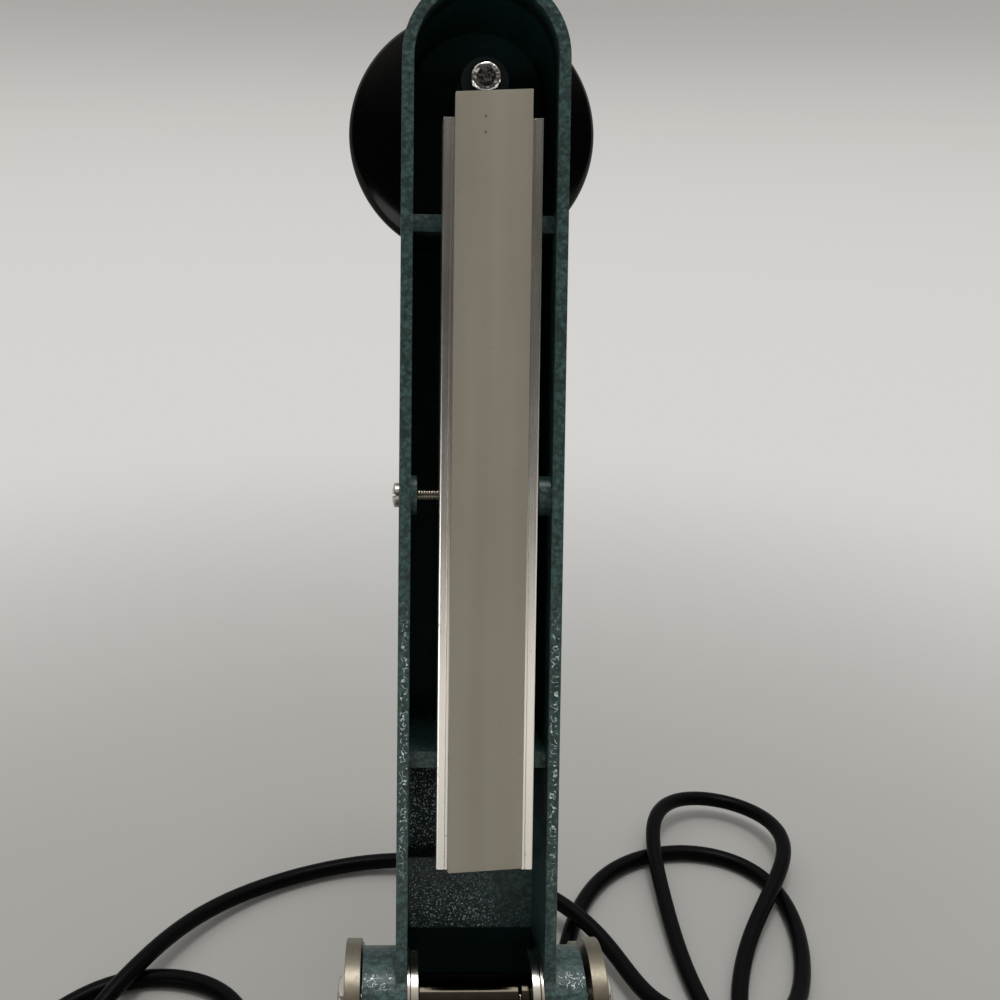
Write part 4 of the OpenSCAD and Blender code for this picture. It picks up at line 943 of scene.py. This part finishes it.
drawn = w.node("ShaderNodeCombineXYZ", {}, {"X": crossways, "Y": lengthways * 0.01, "Z": depthways}, out="Vector")
streak = noise(w, drawn, 2400.0, 3.0)
smear = noise(w, spot, 50.0, 4.0)
nick = ease(w, noise(w, spot, 900.0, 2.0), 0.7, 0.76)
metal = tint(w, streak * 0.6 + smear * 0.4, srgb(222, 219, 212), srgb(242, 240, 235))
surface(
    w,
    {
        "Base Color": tint(w, nick * 0.5, metal, srgb(90, 80, 68)),
        "Metallic": 1.0,
        "Roughness": 0.15 + 0.1 * streak + 0.1 * smear,
    },
    streak - nick,
    0.00002,
)
put("press_bar_extruded", on_arm(points.reshape(-1, 3)), face_lists, "bar", extruded, ["press_bar"], sharp=0)

# Silicone strip. Cut by hand from a sheet and glued into the groove, a little out of square at both ends. It is
# off-white, slightly cloudy, and shiny only where hands have touched it.
strip_w, strip_l, strip_t = 20.0, 206.0, 2.6
corner_r, corner = 0.2, np.radians(np.linspace(0, 90, 5))
quarter = np.stack([np.cos(corner) - 1, 1 - np.sin(corner)], 1) * corner_r + (strip_w / 2, -strip_t)
edge = np.concatenate([[(strip_w / 2, 0.0)], quarter, np.linspace((8, -strip_t), (0, -strip_t), 5)])
ring = np.concatenate([edge, edge[-2::-1] * (-1, 1)])
share = np.concatenate([[0.0, 0.0, 0.0004, 0.0008], np.linspace(0.01, 0.99, 30), [0.9992, 0.9996, 1.0, 1.0]])
shrink = np.concatenate([[0.0, 0.985, 0.995, 1.0], np.ones(30), [1.0, 0.995, 0.985, 0.0]])
x = ring[None, :, 0] * shrink[:, None]
z = (ring[None, :, 1] + strip_t / 2) * shrink[:, None] - strip_t / 2
across = x / strip_w + 0.5
low_end = 0.2 - 1.35 * across
top_end = -strip_l + 0.2 + 1.0 * (1 - across)
y = low_end + (top_end - low_end) * share[:, None]
points = on_arm(np.stack([bar_x + x, y - bar_u, rim_z + groove + z], -1).reshape(-1, 3))
silicone, w = new_finish("cloudy_silicone")
spot = place(w)
lengthways, crossways = along(w, spot, up_the_arm), along(w, spot, to_the_right)
cloud = noise(w, spot, 22.0, 3.0)
drawn = w.node("ShaderNodeCombineXYZ", {}, {"X": crossways, "Y": lengthways * 0.04}, out="Vector")
bands = noise(w, drawn, 110.0, 1.0)
speck_at = [on_arm([[-0.8, -u, -18.0]])[0] * MM for u in (244.9, 240.9)]
gap = [w.vector("DISTANCE", spot, tuple(at), out="Value") for at in speck_at]
speck = fall(w, w.maths("MINIMUM", *gap), 0.00022, 0.0005)
milk = tint(w, ease(w, cloud * 0.35 + bands * 0.65, 0.3, 0.7), srgb(150, 144, 131), srgb(164, 159, 146))
milk = tint(w, ease(w, noise(w, spot, 400.0, 2.0), 0.66, 0.74) * 0.12, milk, srgb(110, 104, 94))
surface(
    w,
    {"Base Color": tint(w, speck * 0.7, milk, srgb(70, 64, 56)), "Roughness": 0.46 + 0.14 * cloud},
    noise(w, spot, 260.0, 3.0),
    0.00003,
)
put("silicone_strip_cut", points, grid_faces(len(share), len(ring)), "bar", silicone, ["silicone_strip"])

# Pivot. A steel saddle in the press bar's channel, and the long threaded screw that crosses the arm and passes
# through it. The screw's slotted head stands outside the arm's left wall.
softened("pivot_saddle", "bar", zinc, 0.3)
pivot_x, pivot_u, pivot_z = -22.35, 146.7, -3.0
thread, thread_faces = threaded(2.0, 0.7, 44.2, 0.38, 0.4)
cap, cap_faces = screw(1.6, 2.0, 3.4, 1.9, False)
seat = (pivot_x, -pivot_u, pivot_z)
pivot = on_arm(np.concatenate([faced(thread, "+x", seat), faced(cap, "-x", seat)]))
pivot_faces = np.concatenate([thread_faces, cap_faces + len(thread)])
put("pivot_screw_threaded", pivot, pivot_faces, "arm", polished, ["pivot_screw"])

# Mains lead. Round black flex with a soft sheath, through a ribbed rubber gland in the housing's side. It lies
# in loose loops on the counter, over itself, and ends in a moulded plug with brass pins.
sheath, w = new_finish("flex_sheath")
spot = place(w)
rub = noise(w, spot, 160.0, 4.0)
surface(
    w,
    {
        "Base Color": tint(w, rub, srgb(4, 5, 5), srgb(10, 10, 10)),
        "Roughness": 0.24 + 0.14 * rub,
        "Specular IOR Level": 0.05,
    },
    noise(w, spot, 900.0, 2.0),
    0.00004,
)
gland_y, gland_z = 20, 18.5
plug_x, plug_y, plug_z = -168, 76, 12.2
route = [(x, gland_y, gland_z) for x in (26, 50, 72, 88)] + [
    (115, 34, 9), (121, 81, 3.4),
    (99, 125, 3.4), (122, 181, 4.5), (160, 222, 14.5), (152, 256, 9), (121, 267, 9), (94, 246, 15),
    (93, 201, 5), (92, 156, 3.4), (102, 115, 3.4), (78, 93, 3.4), (50, 99, 3.4), (36, 126, 3.4), (45, 178, 3.4),
    (68, 221, 3.4), (110, 236, 3.4), (145, 221, 3.4), (149, 183, 3.4), (132, 139, 4), (104, 125, 14.5),
    (73, 139, 8), (66, 170, 7), (42, 198, 15), (-21, 235, 3.4), (-101, 205, 4), (-124, 157, 15), (-145, 127, 5),
    (-129, 96, 3.4), (-92, 94, 3.4), (-72, 131, 3.4), (-92, 161, 3.4), (-139, 163, 3.4), (-168, 126, 4),
    (plug_x, 94, plug_z), (plug_x, plug_y, plug_z),
]
line = eased(route, 12)
lead_r = 3.3
lead = put("power_lead", *tube(line, lead_r, 20), "base", sheath, ["power_cord"], sharp=60)
tail = np.linspace(0, 1, 61)
taper = 6.0 - 1.7 * tail
rib_count, rib_depth = 9, 0.45
ribs = np.where((tail > 0.12) & (tail < 0.92), rib_depth * (np.sin(tail * 2 * np.pi * rib_count) > 0.2), 0.0)
gland_outline = np.concatenate(
    [
        [(3.4, -5.5), (7.5, -5.5), (7.5, -3), (6, -3), (6, 0), (8, 0), (8, 2.6), (7.6, 3), (6, 3)],
        np.stack([taper - ribs, 3 + 27 * tail], 1)[1:],
        [(3.4, 30), (3.4, -5.5)],
    ]
)
points, faces = lathe(gland_outline, 64)
points = faced(points, "+x", (38, gland_y, gland_z))
gland = put("cord_gland_ribbed", points, faces, "base", moulded_rubber, ["cord_gland"])

# The plug's moulding: at each distance from the lead, its half width, its half height and the power of its corners.
stations = np.array(
    [
        (0.0, 3.4, 3.4, 2.0), (0.0, 4.2, 4.2, 2.0), (3.0, 4.5, 4.5, 2.0), (3.4, 4.0, 4.0, 2.0), (4.6, 4.0, 4.0, 2.0),
        (5.0, 4.8, 4.8, 2.0), (7.0, 5.0, 5.0, 2.0), (7.4, 4.4, 4.4, 2.0), (8.6, 4.4, 4.4, 2.0), (9.0, 5.3, 5.3, 2.0),
        (13.5, 5.8, 5.8, 2.0), (14.6, 7.6, 8.2, 2.4), (17.0, 9.4, 10.4, 2.8), (22.0, 11.2, 11.3, 3.2),
        (27.5, 12.6, 11.7, 4.0), (33.0, 12.9, 11.7, 5.0), (42.6, 12.9, 11.7, 5.0), (43.7, 12.3, 11.2, 5.0),
        (44.0, 11.6, 10.6, 5.0), (44.0, 0.0, 0.0, 5.0),
    ]
)
turn = np.linspace(0, 2 * np.pi, 64, endpoint=False)[None]
away, half_w, half_h, power = stations.T[:, :, None]
wide = half_w * np.sign(np.cos(turn)) * np.abs(np.cos(turn)) ** (2 / power)
tall = half_h * np.sign(np.sin(turn)) * np.abs(np.sin(turn)) ** (2 / power)
points = np.stack([plug_x + wide, plug_y - away + 0 * turn, plug_z + tall], -1).reshape(-1, 3)
plug = put("plug_moulded", points, grid_faces(*wide.shape), "base", moulded_black, ["plug_body"])
pins = softened("plug_pins", "base", brass, 0.3)
